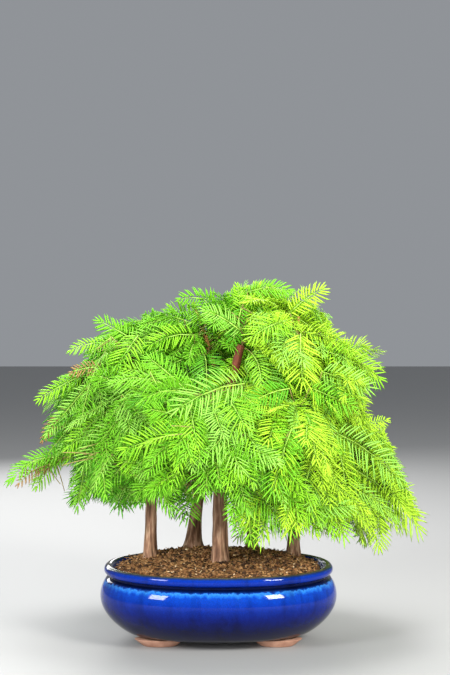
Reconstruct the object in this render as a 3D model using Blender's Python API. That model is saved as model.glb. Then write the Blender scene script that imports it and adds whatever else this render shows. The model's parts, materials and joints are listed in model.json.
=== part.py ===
# Dawn redwood bonsai forest: five young trees in an oval glazed pot on four bare clay feet.
# Metres, +Z up, +X to the right of the front view, +Y away from it. The pot stands on z = 0.
# The soil fills the pot. Each tree has one tapering trunk, boughs that leave it square to its
# bark, and masses of foliage: a stem with twigs and toothed blades, one blade for each flat
# spray of needles.
import math
import random
from collections import namedtuple

import bmesh
import bpy
from mathutils import Matrix, Vector
from mathutils.bvhtree import BVHTree

MM = 0.001
UP = Vector((0, 0, 1))
CLEAR = 0.35 * MM

# Pot
POT_HALF_LENGTH = 140 * MM
POT_DEPTH_SHARE = 0.78
BASE_DEPTH_SHARE = 0.70
PLAN_POWER = 2.2
POT_SIDES = 30
FLOOR_Z = 9 * MM
FLOOR_THICK = 8 * MM
WALL = 7.5 * MM
BASE_RADIUS = 101 * MM
BELLY_Z = 54 * MM
NECK_RADIUS = 127 * MM
NECK_Z = 77 * MM
LOWER_BELLY_POWER = 0.7
UPPER_BELLY_POWER = 0.5
LIP_CENTRE = (129.5 * MM, 84.5 * MM)
LIP_HALF_WIDTH = 6 * MM
LIP_HALF_HEIGHT = 5.5 * MM
DRAIN_RADIUS = 9 * MM
DRAIN_X = 48 * MM

# Clay feet under the pot
FOOT_CENTRE = (68 * MM, 40 * MM)
FOOT_RADIUS = 30 * MM
FOOT_DEPTH_SHARE = 0.56
FOOT_TREAD_SHARE = 0.62
FOOT_SIDES = 20

# Soil
SOIL_EDGE_Z = 86 * MM
MOUND_RISE = 13 * MM
MOUND_POWER = 3.5
MOUND_BACK_TILT = 0.25
SOIL_RINGS = (0.82, 0.55, 0.25)
SOIL_ROOM = 0.8 * MM
SEAT_DEPTH = 3 * MM
SEAT_ROOM = 0.4 * MM
SEAT_SIDES = 14

# Limbs
TRUNK_STATIONS = 8
TRUNK_RESOLUTION = 3
FLARE_HEIGHT = 11 * MM
BOUGH_STATIONS = 4
BOUGH_RESOLUTION = 1
BOUGH_ROOT_RADIUS = 3.0 * MM
BOUGH_TIP_RADIUS = 2.1 * MM
STEM_STATIONS = 3
STEM_ROOT_RADIUS = 2.0 * MM
STEM_TIP_RADIUS = 1.6 * MM
TWIG_RADII = (1.1 * MM, 1.0 * MM)
SQUARE_START = 4 * MM

# Toothed blades, each standing for one spray of needles
TEETH = 4
BLADES = 8
TWIGS = 3
BLADE_WIDTH_SHARE = 0.60
BLADE_RIDGE = 1.6 * MM
NECK_LENGTH = 6 * MM
NECK_HALF_WIDTH = 0.8 * MM
NECK_FACES = 4
NOTCH_SHARE = 0.42
TOOTH_LEAN = 0.08
BLADE_DROOP = 0.16
BLADE_LENGTHS = (68 * MM, 96 * MM)
SHRINKS = (1.0, 0.85, 0.72)
SHORTEST_BLADE = 42 * MM
ROOT_SUNK = 3 * MM
TRIES = 70
SPACE_MARGIN = 0.5 * MM
LIMB_MARGIN = 0.8 * MM

# The crown's outline from the front, seen from this far and this high: x, lowest and highest z
VIEW_DISTANCE = 1883
VIEW_HEIGHT = 410
CROWN_OUTLINE = (
    (-250, 178, 214),
    (-199, 182, 298),
    (-164, 160, 352),
    (-128, 168, 374),
    (-81, 168, 392),
    (-22, 150, 416),
    (14, 120, 420),
    (73, 124, 424),
    (112, 126, 420),
    (144, 122, 368),
    (191, 112, 344),
    (206, 122, 240),
    (241, 134, 150),
)
CROWN_MIDDLE = (-4, 14)
CROWN_HALF_PLAN = (256, 202)
SEED = 11

Tree = namedtuple("Tree", "foot knee tip foot_radius tip_radius flare")
TREES = {
    "left": Tree((-81, 10), (-80, 10, 205), (-105, 2, 352), 7.8, 1.9, 0.30),
    "centre": Tree((2, -36), (2, -34, 210), (26, -24, 349), 9.8, 4.6, 0.22),
    "back_left": Tree((-31, 62), (-4, 60, 298), (-31, 52, 399), 8.4, 1.5, 0.95),
    "back_right": Tree((41, 76), (48, 76, 229), (71, 68, 374), 7.0, 1.9, 0.45),
    "right": Tree((90, 28), (94, 29, 233), (95, 22, 382), 7.4, 2.1, 0.40),
}

# One row for each mass. The bough leaves its tree at a height on a heading, in degrees from +X
# towards +Y, and ends so far out and so far up. A reach of 0 is a mass on the trunk itself.
# The mass goes on along its own heading, so far out and up to its furthest tip.
Mass = namedtuple("Mass", "tree height heading reach rise onward out up spread")
MASSES = {
    "left_low": Mass("left", 209, 205, 62, 20, 197, 104, -33, 34),
    "left_side": Mass("left", 245, 202, 47, 28, 196, 72, -8, 50),
    "left_high": Mass("left", 289, 150, 37, 23, 168, 52, 20, 45),
    "left_top": Mass("left", 338, 198, 0, 0, 198, 34, 30, 45),
    "left_front": Mass("left", 226, 255, 72, 26, 238, 76, -47, 55),
    "left_brow": Mass("left", 276, 262, 0, 0, 262, 124, 2, 50),
    "left_back": Mass("left", 253, 111, 78, 22, 124, 92, -48, 60),
    "centre_skirt": Mass("centre", 198, 250, 54, 26, 248, 70, -42, 50),
    "centre_front": Mass("centre", 240, 259, 68, 34, 262, 82, -34, 55),
    "centre_apron": Mass("centre", 218, 295, 56, 20, 285, 50, -80, 45),
    "centre_brow": Mass("centre", 290, 244, 0, 0, 244, 112, 8, 50),
    "centre_top": Mass("centre", 340, 60, 0, 0, 60, 8, 86, 42),
    "back_left_high": Mass("back_left", 356, 178, 0, 0, 178, 84, 36, 45),
    "back_left_top": Mass("back_left", 350, 350, 0, 0, 350, 26, 66, 45),
    "back_left_crest": Mass("back_left", 322, 232, 0, 0, 232, 76, 62, 50),
    "back_left_side": Mass("back_left", 255, 130, 55, 40, 146, 66, 10, 50),
    "back_left_back": Mass("back_left", 230, 98, 82, 36, 106, 84, -50, 60),
    "back_left_low": Mass("back_left", 188, 142, 56, 18, 136, 70, -38, 50),
    "back_right_top": Mass("back_right", 352, 350, 0, 0, 350, 54, 62, 45),
    "back_right_brow": Mass("back_right", 318, 245, 0, 0, 245, 74, 40, 50),
    "back_right_back": Mass("back_right", 270, 88, 78, 20, 100, 84, -48, 60),
    "back_right_side": Mass("back_right", 296, 46, 60, 22, 32, 64, -4, 50),
    "back_right_low": Mass("back_right", 200, 78, 62, 12, 66, 62, -72, 50),
    "right_low": Mass("right", 196, 336, 55, 26, 348, 90, -76, 42),
    "right_side": Mass("right", 232, 4, 42, 26, 10, 76, -14, 50),
    "right_high": Mass("right", 291, 348, 38, 27, 342, 62, 12, 50),
    "right_front": Mass("right", 208, 278, 76, 24, 262, 62, -66, 50),
    "right_brow": Mass("right", 285, 264, 0, 0, 264, 130, -4, 50),
    "right_top": Mass("right", 352, 330, 0, 0, 330, 44, 18, 40),
    "right_back": Mass("right", 243, 64, 78, 16, 62, 84, -58, 60),
}

# Colours as linear red, green, blue with roughness
FINISHES = {
    "blue_glaze": ((0.004, 0.03, 0.36), 0.12),
    "bare_clay": ((0.42, 0.19, 0.12), 0.85),
    "potting_soil": ((0.13, 0.065, 0.03), 0.95),
    "redwood_bark": ((0.30, 0.15, 0.09), 0.85),
    "needle_green": ((0.16, 0.44, 0.03), 0.55),
}


def clear_scene():
    for thing in list(bpy.data.objects):
        bpy.data.objects.remove(thing)


def finish(name):
    """One Principled material for each finish, made when it is first used."""
    known = bpy.data.materials.get(name)
    if known:
        return known
    colour, roughness = FINISHES[name]
    made = bpy.data.materials.new(name)
    made.use_nodes = True
    shader = made.node_tree.nodes["Principled BSDF"]
    shader.inputs["Base Color"].default_value = (*colour, 1)
    shader.inputs["Roughness"].default_value = roughness
    return made


def add_object(name, mesh, material, collection):
    made = bpy.data.objects.new(name, mesh)
    if material:
        mesh.materials.clear()
        mesh.materials.append(finish(material))
    collection.objects.link(made)
    return made


def mesh_of(form, name):
    """Closes a bmesh into a mesh with its faces pointing out."""
    bmesh.ops.remove_doubles(form, verts=form.verts, dist=1e-6)
    bmesh.ops.recalc_face_normals(form, faces=form.faces)
    mesh = bpy.data.meshes.new(name)
    form.to_mesh(mesh)
    form.free()
    return mesh


# Oval shapes: a turned profile squeezed to the pot's plan


def oval(radius, angle, depth_share):
    """A point on an oval a little fuller than an ellipse."""
    power = 2 / PLAN_POWER
    c, s = math.cos(angle), math.sin(angle)
    return Vector(
        (
            radius * math.copysign(abs(c) ** power, c),
            radius * depth_share * math.copysign(abs(s) ** power, s),
            0,
        )
    )


def depth_share_at(z):
    """The pot is narrower from front to back at its base than at its belly."""
    rise = min(1.0, max(0.0, (z - FLOOR_Z) / (BELLY_Z - FLOOR_Z)))
    return BASE_DEPTH_SHARE + (POT_DEPTH_SHARE - BASE_DEPTH_SHARE) * rise


def turned_oval(profile, sides):
    """Spins a profile of (radius, z), from the axis out and back to it, and squeezes it."""
    form = bmesh.new()
    points = [form.verts.new((r, 0, z)) for r, z in profile]
    edges = [form.edges.new(pair) for pair in zip(points, points[1:])]
    bmesh.ops.spin(
        form,
        geom=points + edges,
        axis=UP,
        cent=(0, 0, 0),
        angle=2 * math.pi,
        steps=sides,
        use_merge=True,
    )
    bmesh.ops.remove_doubles(form, verts=form.verts, dist=1e-6)
    for v in form.verts:
        radius = math.hypot(v.co.x, v.co.y)
        if radius > 1e-6:
            spot = oval(radius, math.atan2(v.co.y, v.co.x), depth_share_at(v.co.z))
            v.co.x, v.co.y = spot.x, spot.y
    return form


def belly_radius(z):
    """The pot's outer radius between its base and its neck."""
    if z < BELLY_Z:
        drop = (BELLY_Z - z) / (BELLY_Z - FLOOR_Z)
        swell = math.cos(drop * math.pi / 2) ** LOWER_BELLY_POWER
        return BASE_RADIUS + (POT_HALF_LENGTH - BASE_RADIUS) * swell
    rise = min(1.0, (z - BELLY_Z) / (NECK_Z - BELLY_Z))
    swell = max(0.0, math.cos(rise * math.pi / 2)) ** UPPER_BELLY_POWER
    return NECK_RADIUS + (POT_HALF_LENGTH - NECK_RADIUS) * swell


def lip_point(degrees):
    turn = math.radians(degrees)
    return (
        LIP_CENTRE[0] + LIP_HALF_WIDTH * math.cos(turn),
        LIP_CENTRE[1] + LIP_HALF_HEIGHT * math.sin(turn),
    )


def inner_radius(z):
    """The pot's inner wall, as far inside the belly as the wall is thick."""
    return min(belly_radius(z), POT_HALF_LENGTH) - WALL


def inner_wall():
    """The inner wall's profile from under the lip down to the floor."""
    heights = (80 * MM, 60 * MM, 32 * MM)
    floor_top = FLOOR_Z + FLOOR_THICK
    wall = [(NECK_RADIUS - 3.5 * MM, SOIL_EDGE_Z + 1.5 * MM)]
    wall += [(min(inner_radius(z), NECK_RADIUS - 3.5 * MM), z) for z in heights]
    return wall + [(BASE_RADIUS - 4 * MM, floor_top)]


def cut_away(target, cutters):
    """Cuts each cutter out of the target and bakes the cut."""
    for cutter in cutters:
        cut = target.modifiers.new(cutter.name, "BOOLEAN")
        cut.operation = "DIFFERENCE"
        cut.solver = "EXACT"
        cut.object = cutter
    bake_modifiers(target)
    for cutter in cutters:
        bpy.data.objects.remove(cutter)


def bake_modifiers(target):
    bpy.context.view_layer.update()
    graph = bpy.context.evaluated_depsgraph_get()
    baked = bpy.data.meshes.new_from_object(target.evaluated_get(graph))
    target.modifiers.clear()
    target.data = baked


def round_cutter(name, centre, radius, low, high, sides):
    form = bmesh.new()
    place = Matrix.Translation((centre[0], centre[1], (low + high) / 2))
    bmesh.ops.create_cone(
        form,
        cap_ends=True,
        segments=sides,
        radius1=radius,
        radius2=radius,
        depth=high - low,
        matrix=place,
    )
    made = add_object(name, mesh_of(form, name), None, cutters)
    made.hide_render = True
    made.display_type = "WIRE"
    return made


def make_pot():
    under = [(0, FLOOR_Z), (BASE_RADIUS, FLOOR_Z)]
    belly = [(belly_radius(z * MM), z * MM) for z in (17, 30, 43, 54, 64, 72)]
    neck = [(NECK_RADIUS, NECK_Z)]
    lip = [lip_point(angle) for angle in (-60, 0, 50, 100, 150)]
    floor = [(0, FLOOR_Z + FLOOR_THICK)]
    profile = under + belly + neck + lip + inner_wall() + floor
    form = turned_oval(profile, POT_SIDES)
    pot = add_object("pot", mesh_of(form, "pot"), "blue_glaze", parts)
    drains = [
        round_cutter(
            f"drain_{side}",
            (side * DRAIN_X, 0),
            DRAIN_RADIUS,
            FLOOR_Z - 5 * MM,
            FLOOR_Z + FLOOR_THICK + 5 * MM,
            12,
        )
        for side in (-1, 1)
    ]
    cut_away(pot, drains)
    pot.data.shade_smooth()
    pot.data.set_sharp_from_angle(angle=math.radians(40))


def make_feet():
    """Shallow pads whose sides slope in to the tread, one under each quarter of the pot."""
    for front, depth_word in ((-1, "front"), (1, "back")):
        for side, side_word in ((-1, "left"), (1, "right")):
            name = f"pot_foot_{depth_word}_{side_word}"
            form = bmesh.new()
            bmesh.ops.create_cone(
                form,
                cap_ends=True,
                segments=FOOT_SIDES,
                radius1=FOOT_RADIUS * FOOT_TREAD_SHARE,
                radius2=FOOT_RADIUS,
                depth=FLOOR_Z - CLEAR,
                matrix=Matrix.Diagonal((1, FOOT_DEPTH_SHARE, 1, 1)),
            )
            foot = add_object(name, mesh_of(form, name), "bare_clay", parts)
            middle = (FLOOR_Z - CLEAR) / 2
            foot.location = (side * FOOT_CENTRE[0], front * FOOT_CENTRE[1], middle)


def soil_height(x, y):
    """The mound: low at the lip, higher towards the back."""
    long_half = inner_radius(SOIL_EDGE_Z)
    deep_half = long_half * POT_DEPTH_SHARE
    out = (abs(x / long_half) ** PLAN_POWER + abs(y / deep_half) ** PLAN_POWER) ** (
        1 / PLAN_POWER
    )
    swell = 1 - min(1.0, out) ** MOUND_POWER
    return SOIL_EDGE_Z + MOUND_RISE * swell * (1 + MOUND_BACK_TILT * y / deep_half)


def make_soil():
    wall = inner_wall()
    (lip_r, lip_z), (neck_r, neck_z) = wall[:2]
    edge = neck_r + (lip_r - neck_r) * (SOIL_EDGE_Z - neck_z) / (lip_z - neck_z) - SOIL_ROOM
    profile = [(0, wall[-1][1] + CLEAR)]
    profile += [(r - SOIL_ROOM, z + CLEAR) for r, z in reversed(wall[1:])]
    profile += [(edge, SOIL_EDGE_Z)]
    profile += [(edge * share, SOIL_EDGE_Z + MM) for share in SOIL_RINGS]
    profile += [(0, SOIL_EDGE_Z + MM)]
    form = turned_oval(profile, POT_SIDES // 2)
    for v in form.verts:
        if v.co.z > SOIL_EDGE_Z + MM / 2:
            v.co.z = soil_height(v.co.x, v.co.y)
    soil = add_object("soil", mesh_of(form, "soil"), "potting_soil", parts)
    seats = []
    for name, tree in TREES.items():
        low = seat_height(tree)
        radius = (trunk_line(tree)[1][0] + SEAT_ROOM) / math.cos(math.pi / SEAT_SIDES)
        centre = (tree.foot[0] * MM, tree.foot[1] * MM)
        seats.append(round_cutter(f"seat_{name}", centre, radius, low, low + 40 * MM, SEAT_SIDES))
    cut_away(soil, seats)


# Limbs: trunks, boughs, stems and twigs


def seat_height(tree):
    return soil_height(tree.foot[0] * MM, tree.foot[1] * MM) - SEAT_DEPTH


def smooth_step(t):
    return t * t * (3 - 2 * t)


def trunk_point(tree, z):
    """The trunk's centreline: upright at the foot, through the knee, to the tip."""
    foot = Vector((*tree.foot, 0)) * MM
    foot.z = seat_height(tree) + CLEAR
    knee, tip = Vector(tree.knee) * MM, Vector(tree.tip) * MM
    if z <= knee.z:
        share = smooth_step((z - foot.z) / (knee.z - foot.z))
        spot = foot.lerp(knee, share)
    else:
        share = (z - knee.z) / (tip.z - knee.z)
        spot = knee.lerp(tip, share ** 1.5)
    spot.z = z
    return spot


def trunk_radius(tree, z):
    """Straight taper from foot to tip, and a flare that dies away above the soil."""
    foot_z, tip_z = seat_height(tree) + CLEAR, tree.tip[2] * MM
    share = (z - foot_z) / (tip_z - foot_z)
    plain = tree.foot_radius + (tree.tip_radius - tree.foot_radius) * share
    flare = tree.flare * tree.foot_radius * math.exp(-(z - foot_z) / FLARE_HEIGHT)
    return (plain + flare) * MM


def trunk_line(tree):
    """Points and radii down the whole trunk, closer together near the foot."""
    foot_z, tip_z = seat_height(tree) + CLEAR, tree.tip[2] * MM
    heights = [foot_z, foot_z + 5 * MM]
    for i in range(1, TRUNK_STATIONS):
        share = (i / (TRUNK_STATIONS - 1)) ** 1.25
        heights.append(foot_z + 5 * MM + (tip_z - foot_z - 5 * MM) * share)
    points = [trunk_point(tree, z) for z in heights]
    points[1].x, points[1].y = points[0].x, points[0].y
    return points, [trunk_radius(tree, z) for z in heights]


def on_trunk(tree, z):
    """Where the trunk's centre is at a height, how thick it is there and the way it runs."""
    points, radii = trunk_line(tree)
    i = max(k for k in range(len(points) - 1) if points[k].z <= z)
    share = (z - points[i].z) / (points[i + 1].z - points[i].z)
    radius = radii[i] + (radii[i + 1] - radii[i]) * share
    return points[i].lerp(points[i + 1], share), radius, (points[i + 1] - points[i]).normalized()


def bevelled_curve(name, points, radii, resolution, collection):
    """A tapering round limb: a curve with a radius at each point and closed ends."""
    curve = bpy.data.curves.new(name, "CURVE")
    curve.dimensions = "3D"
    curve.bevel_depth = 1.0
    curve.bevel_resolution = resolution
    curve.use_fill_caps = True
    spline = curve.splines.new("POLY")
    spline.points.add(len(points) - 1)
    for spot, point, radius in zip(spline.points, points, radii):
        spot.co = (*point, 1)
        spot.radius = radius
    made = bpy.data.objects.new(name, curve)
    collection.objects.link(made)
    return made


def as_mesh(limb, material, collection):
    """Turns a bevelled curve into a mesh object of the same name, with its caps joined on."""
    name = limb.name
    bpy.context.view_layer.update()
    graph = bpy.context.evaluated_depsgraph_get()
    rough = bpy.data.meshes.new_from_object(limb.evaluated_get(graph))
    rough.transform(limb.matrix_world)
    bpy.data.objects.remove(limb)
    form = bmesh.new()
    form.from_mesh(rough)
    made = add_object(name, mesh_of(form, name), material, collection)
    made.data.shade_smooth()
    made.data.set_sharp_from_angle(angle=math.radians(50))
    return made


def make_trunk(name, tree):
    points, radii = trunk_line(tree)
    limb = bevelled_curve(f"trunk_{name}", points, radii, TRUNK_RESOLUTION, parts)
    return as_mesh(limb, "redwood_bark", parts)


def level(degrees):
    turn = math.radians(degrees)
    return Vector((math.cos(turn), math.sin(turn), 0))


def bark_start(mass):
    """Where a limb leaves its trunk, just clear of the bark, and the way it starts."""
    centre, radius, along = on_trunk(TREES[mass.tree], mass.height * MM)
    out = level(mass.heading)
    square = (out - along * out.dot(along)).normalized()
    return centre + square * (radius + CLEAR), square


def arched(start, square, end, arch, count):
    """Points from start to end: a short square start, then a line that arches by a share."""
    first = start + square * SQUARE_START
    span = end - first
    points = [start]
    for i in range(count):
        t = i / (count - 1)
        lift = UP * (arch * span.length * 4 * t * (1 - t))
        points.append(first + span * t + lift)
    return points


def bough_points(mass):
    start, square = bark_start(mass)
    trunk = on_trunk(TREES[mass.tree], mass.height * MM)[0]
    end = trunk + level(mass.heading) * mass.reach * MM + UP * mass.rise * MM
    return arched(start, square, end, 0.06, BOUGH_STATIONS)


def stem_points(mass):
    """The stem of a mass: on from its bough's tip, or straight off the trunk."""
    if mass.reach:
        bough = bough_points(mass)
        way = (bough[-1] - bough[-2]).normalized()
        start = bough[-1] + way * CLEAR
    else:
        start, way = bark_start(mass)
    span = level(mass.onward) * mass.out * MM + UP * mass.up * MM
    tip = start + span
    stem_share = 1 - min(0.62, BLADE_LENGTHS[0] * 0.9 / span.length)
    stem_share = max(0.34, stem_share)
    end = start + span * stem_share
    points = arched(start, way, end, 0.10, STEM_STATIONS)
    return points, tip


def radii_between(first, last, count):
    return [first + (last - first) * i / (count - 1) for i in range(count)]


# Foliage

Solid = namedtuple("Solid", "corners faces")


def blade_half_width(share, width):
    """Narrow at the root, widest before the middle, and drawn in to the tip."""
    return width / 2 * (0.45 + 0.55 * math.sin(math.pi * min(1, share * 1.1 + 0.12)))


def blade(root, way, face, length, width):
    """A toothed blade on a narrow neck, flat below with a ridge above, drooping as it goes."""
    side = way.cross(face).normalized()
    face = side.cross(way).normalized()

    def rib(share):
        return root + way * (length * share) - UP * (BLADE_DROOP * length * share * share)

    def station(share, half, ridge):
        corners.append(rib(share) + face * ridge)
        corners.extend(rib(share) + side * half * s for s in (-1, 1))

    corners = []
    station(0, NECK_HALF_WIDTH / 3, BLADE_RIDGE / 4)
    faces = [(0, 2, 1)]
    neck = NECK_LENGTH / length
    for i in range(TEETH):
        share = neck + (1 - neck) * i / TEETH
        half = blade_half_width(share, width) * NOTCH_SHARE if i else NECK_HALF_WIDTH
        station(share, half, BLADE_RIDGE * (1 - 0.5 * share))
        tooth_share = neck + (1 - neck) * ((i + 0.5) / TEETH + TOOTH_LEAN)
        reach = blade_half_width(tooth_share, width)
        corners += [rib(tooth_share) + side * reach * s for s in (-1, 1)]
    faces += [(0, 1, 4, 3), (0, 3, 5, 2), (1, 2, 5, 4)]
    tip = len(corners)
    corners.append(rib(1.0))
    for i in range(TEETH):
        ridge, left, right, left_tooth, right_tooth = range(5 * i + 3, 5 * i + 8)
        last = i == TEETH - 1
        on_ridge, on_left, on_right = (tip, tip, tip) if last else (ridge + 5, left + 5, right + 5)
        faces += [(ridge, left, left_tooth), (ridge, left_tooth, on_ridge)]
        faces += [(ridge, right_tooth, right), (ridge, on_ridge, right_tooth)]
        faces += [(left, on_left, left_tooth), (right, right_tooth, on_right)]
        if last:
            faces.append((left, right, tip))
        else:
            faces += [(on_ridge, left_tooth, on_left), (on_ridge, on_right, right_tooth)]
            faces.append((left, right, on_right, on_left))
    return Solid(corners, faces)


def rod(start, end, start_radius, end_radius):
    """A three-sided tapering rod from start to end."""
    way = (end - start).normalized()
    across = way.orthogonal()
    corners = []
    for centre, radius in ((start, start_radius), (end, end_radius)):
        for k in range(3):
            corners.append(centre + Matrix.Rotation(k * math.tau / 3, 3, way) @ across * radius)
    faces = [(0, 2, 1), (3, 4, 5), (0, 1, 4, 3), (1, 2, 5, 4), (2, 0, 3, 5)]
    return Solid(corners, faces)


def solid_object(name, solid, collection):
    mesh = bpy.data.meshes.new(name)
    mesh.from_pydata(solid.corners, [], solid.faces)
    form = bmesh.new()
    form.from_mesh(mesh)
    return add_object(name, mesh_of(form, name), "needle_green", collection)


class Taken:
    """Space that is taken: a closed shape with a ball round it for quick answers."""

    def __init__(self, corners, faces):
        self.middle = sum(corners, Vector()) / len(corners)
        self.reach = max((c - self.middle).length for c in corners)
        self.tree = BVHTree.FromPolygons(corners, faces)

    def meets(self, other):
        if (self.middle - other.middle).length > self.reach + other.reach:
            return False
        return bool(self.tree.overlap(other.tree))


def faces_of(mesh):
    return [tuple(p.vertices) for p in mesh.polygons]


def fat_limb(points, radii):
    """The space of a limb a little thicker than the real one, for leaves to keep clear of."""
    fat = [r + LIMB_MARGIN for r in radii]
    limb = as_mesh(bevelled_curve("keep_clear", points, fat, 1, parts), None, parts)
    found = Taken([v.co.copy() for v in limb.data.vertices], faces_of(limb.data))
    bpy.data.objects.remove(limb)
    return found


def inside_outline(point):
    """True where the point lies inside the crown's outline, seen from the front."""
    x, y, z = point / MM
    across = abs(x - CROWN_MIDDLE[0]) / CROWN_HALF_PLAN[0]
    deep = abs(y - CROWN_MIDDLE[1]) / CROWN_HALF_PLAN[1]
    if across ** PLAN_POWER + deep ** PLAN_POWER > 1:
        return False
    nearness = VIEW_DISTANCE / (VIEW_DISTANCE + y)
    x *= nearness
    z = VIEW_HEIGHT + (z - VIEW_HEIGHT) * nearness
    for (x0, low0, high0), (x1, low1, high1) in zip(CROWN_OUTLINE, CROWN_OUTLINE[1:]):
        if x0 <= x <= x1:
            share = (x - x0) / (x1 - x0)
            return low0 + (low1 - low0) * share < z < high0 + (high1 - high0) * share
    return False


def in_own_space(point, own, middles):
    """True where the point lies nearer to the middle of its own mass than to any other."""
    for name, middle in middles.items():
        if name != own:
            apart = (middle - middles[own]).normalized()
            if (point - (middle + middles[own]) / 2).dot(apart) > -SPACE_MARGIN:
                return False
    return True


def random_way(rng, along, outward, rise):
    """A way near that of the shoot it grows from, pulled outwards, and level or hanging."""
    while True:
        loose = Vector([rng.uniform(-1, 1) for _ in range(3)])
        if 0.1 < loose.length < 1:
            break
    way = along * 0.45 + outward * 0.45 + loose.normalized() * 1.2
    way.z = rng.uniform(*rise)
    return way.normalized()


def random_face(rng, way):
    """The flat side of a spray: turned up, and rolled to one side or the other."""
    roll = rng.choice((-1, 1)) * math.radians(rng.uniform(20, 70))
    level_face = (UP - way * way.z).normalized()
    return Matrix.Rotation(roll, 3, way) @ level_face


def spot_on(points, share):
    """A point on a line of points and the way the line runs there."""
    place = share * (len(points) - 1)
    i = min(int(place), len(points) - 2)
    a, b = points[i], points[i + 1]
    return a.lerp(b, place - i), (b - a).normalized()


def grow_mass(name, mass, middles, taken):
    """Stem, twigs and blades of one mass: the stem as an object, the rest as loose solids."""
    rng = random.Random(f"{SEED}-{name}")
    points, tip = stem_points(mass)
    radii = radii_between(STEM_ROOT_RADIUS, STEM_TIP_RADIUS, len(points))
    stem = as_mesh(bevelled_curve(name, points, radii, 0, parts), None, parts)
    outward = level(mass.onward)
    upright = mass.up > 60
    rise = (-0.3, 1.3) if upright else (-0.9, 0.55)
    others = [space for key, space in taken.items() if key != name]
    placed = []
    shoots = [Taken([v.co.copy() for v in stem.data.vertices], faces_of(stem.data))]

    def fits(solid, against):
        """The space a solid would take, or None where it has no room."""
        if not all(inside_outline(c) and in_own_space(c, name, middles) for c in solid.corners):
            return None
        space = Taken(*solid)
        return None if any(space.meets(other) for other in against) else space

    def try_blade(base, way, face, length):
        for shrink in SHRINKS:
            size = length * shrink
            if size < SHORTEST_BLADE:
                return None
            solid = blade(base, way, face, size, size * BLADE_WIDTH_SHARE)
            space = fits(solid, others + placed)
            if space:
                beyond_neck = Taken(solid.corners, solid.faces[NECK_FACES:])
                if not any(beyond_neck.meets(shoot) for shoot in shoots):
                    return solid, space
        return None

    end = points[-1]
    last = (tip - end).normalized()
    grown = []
    for _ in range(TRIES):
        face = random_face(rng, last)
        first = try_blade(end - last * ROOT_SUNK, last, face, (tip - end).length + ROOT_SUNK)
        if first:
            grown.append(first[0])
            placed.append(first[1])
            break
    shoot_lines = [points[1:]]
    for k in range(TWIGS):
        for _ in range(TRIES):
            base, along = spot_on(points, 0.35 + 0.55 * (k + rng.random()) / TWIGS)
            way = random_way(rng, along, outward, rise)
            twig_end = base + way * mass.spread * MM * rng.uniform(0.45, 0.85)
            twig = rod(base, twig_end, *TWIG_RADII)
            space = fits(twig, others + placed)
            if space:
                shoots.append(space)
                grown.append(twig)
                shoot_lines.append([base.lerp(twig_end, 0.35), twig_end])
                break
    for _ in range(BLADES - len(placed)):
        found = []
        for _ in range(TRIES):
            share = rng.choice((1.0, rng.uniform(0.1, 0.95)))
            base, along = spot_on(rng.choice(shoot_lines), share)
            way = random_way(rng, along, outward, rise)
            if share == 1.0:
                way = (way + along).normalized()
            root = base - way * 0.3 * MM
            one = try_blade(root, way, random_face(rng, way), rng.uniform(*BLADE_LENGTHS))
            if one:
                apart = min([(one[1].middle - p.middle).length for p in placed] or [0])
                found.append((apart + 0.5 * one[1].reach, len(found), one))
        if found:
            solid, space = max(found)[2]
            grown.append(solid)
            placed.append(space)
    for i, space in enumerate(placed):
        taken[f"{name}_blade_{i}"] = space
    print(name, len(placed), "blades")
    return stem, grown


def fuse(stem, loose, name):
    """Joins a mass's twigs and blades to its stem in one Boolean union."""
    bundle = bpy.data.collections.new(f"{name}_loose")
    bpy.context.scene.collection.children.link(bundle)
    for i, solid in enumerate(loose):
        solid_object(f"{name}_{i}", solid, bundle)
    join = stem.modifiers.new("join", "BOOLEAN")
    join.operation = "UNION"
    join.operand_type = "COLLECTION"
    join.solver = "MANIFOLD"
    join.collection = bundle
    bake_modifiers(stem)
    for thing in list(bundle.objects):
        bpy.data.objects.remove(thing)
    bpy.data.collections.remove(bundle)
    stem.data.materials.clear()
    stem.data.materials.append(finish("needle_green"))


def make_forest():
    """Trunks and boughs first, then the masses, which keep clear of every limb."""
    taken = {}
    for name, tree in TREES.items():
        make_trunk(name, tree)
        taken[f"trunk_{name}"] = fat_limb(*trunk_line(tree))
    middles = {}
    for name, mass in MASSES.items():
        if mass.reach:
            points = bough_points(mass)
            radii = radii_between(BOUGH_ROOT_RADIUS, BOUGH_TIP_RADIUS, len(points))
            bough = bevelled_curve(f"bough_{name}", points, radii, BOUGH_RESOLUTION, parts)
            as_mesh(bough, "redwood_bark", parts)
            taken[f"bough_{name}"] = fat_limb(points, radii)
        stem, tip = stem_points(mass)
        radii = radii_between(STEM_ROOT_RADIUS, STEM_TIP_RADIUS, len(stem))
        taken[f"foliage_{name}"] = fat_limb(stem, radii)
        middles[f"foliage_{name}"] = stem[0].lerp(tip, 0.55)
    for name, mass in MASSES.items():
        node = f"foliage_{name}"
        stem, loose = grow_mass(node, mass, middles, taken)
        fuse(stem, loose, node)


def centre_on_origin():
    """Shifts the whole object sideways until the origin is under the middle of its box."""
    bpy.context.view_layer.update()
    corners = [o.matrix_world @ Vector(c) for o in parts.objects for c in o.bound_box]
    shift = Vector(
        [-(min(c[i] for c in corners) + max(c[i] for c in corners)) / 2 for i in (0, 1)]
        + [0]
    )
    for thing in parts.objects:
        thing.location += shift
    return shift


clear_scene()
parts = bpy.data.collections.new("dawn_redwood_forest")
cutters = bpy.data.collections.new("cutters")
for group in (parts, cutters):
    bpy.context.scene.collection.children.link(group)
make_pot()
make_feet()
make_soil()
make_forest()
print("shifted by", centre_on_origin())
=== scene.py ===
# %% [markdown]
# A small forest of five young dawn redwoods stands in an oval blue pot. This lesson dresses the
# plain solids of the model: a glazed pot, clay feet, loose soil, stringy bark and thousands of
# soft needles. Each step says what the real thing is, how it could be made and why one way won.

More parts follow.
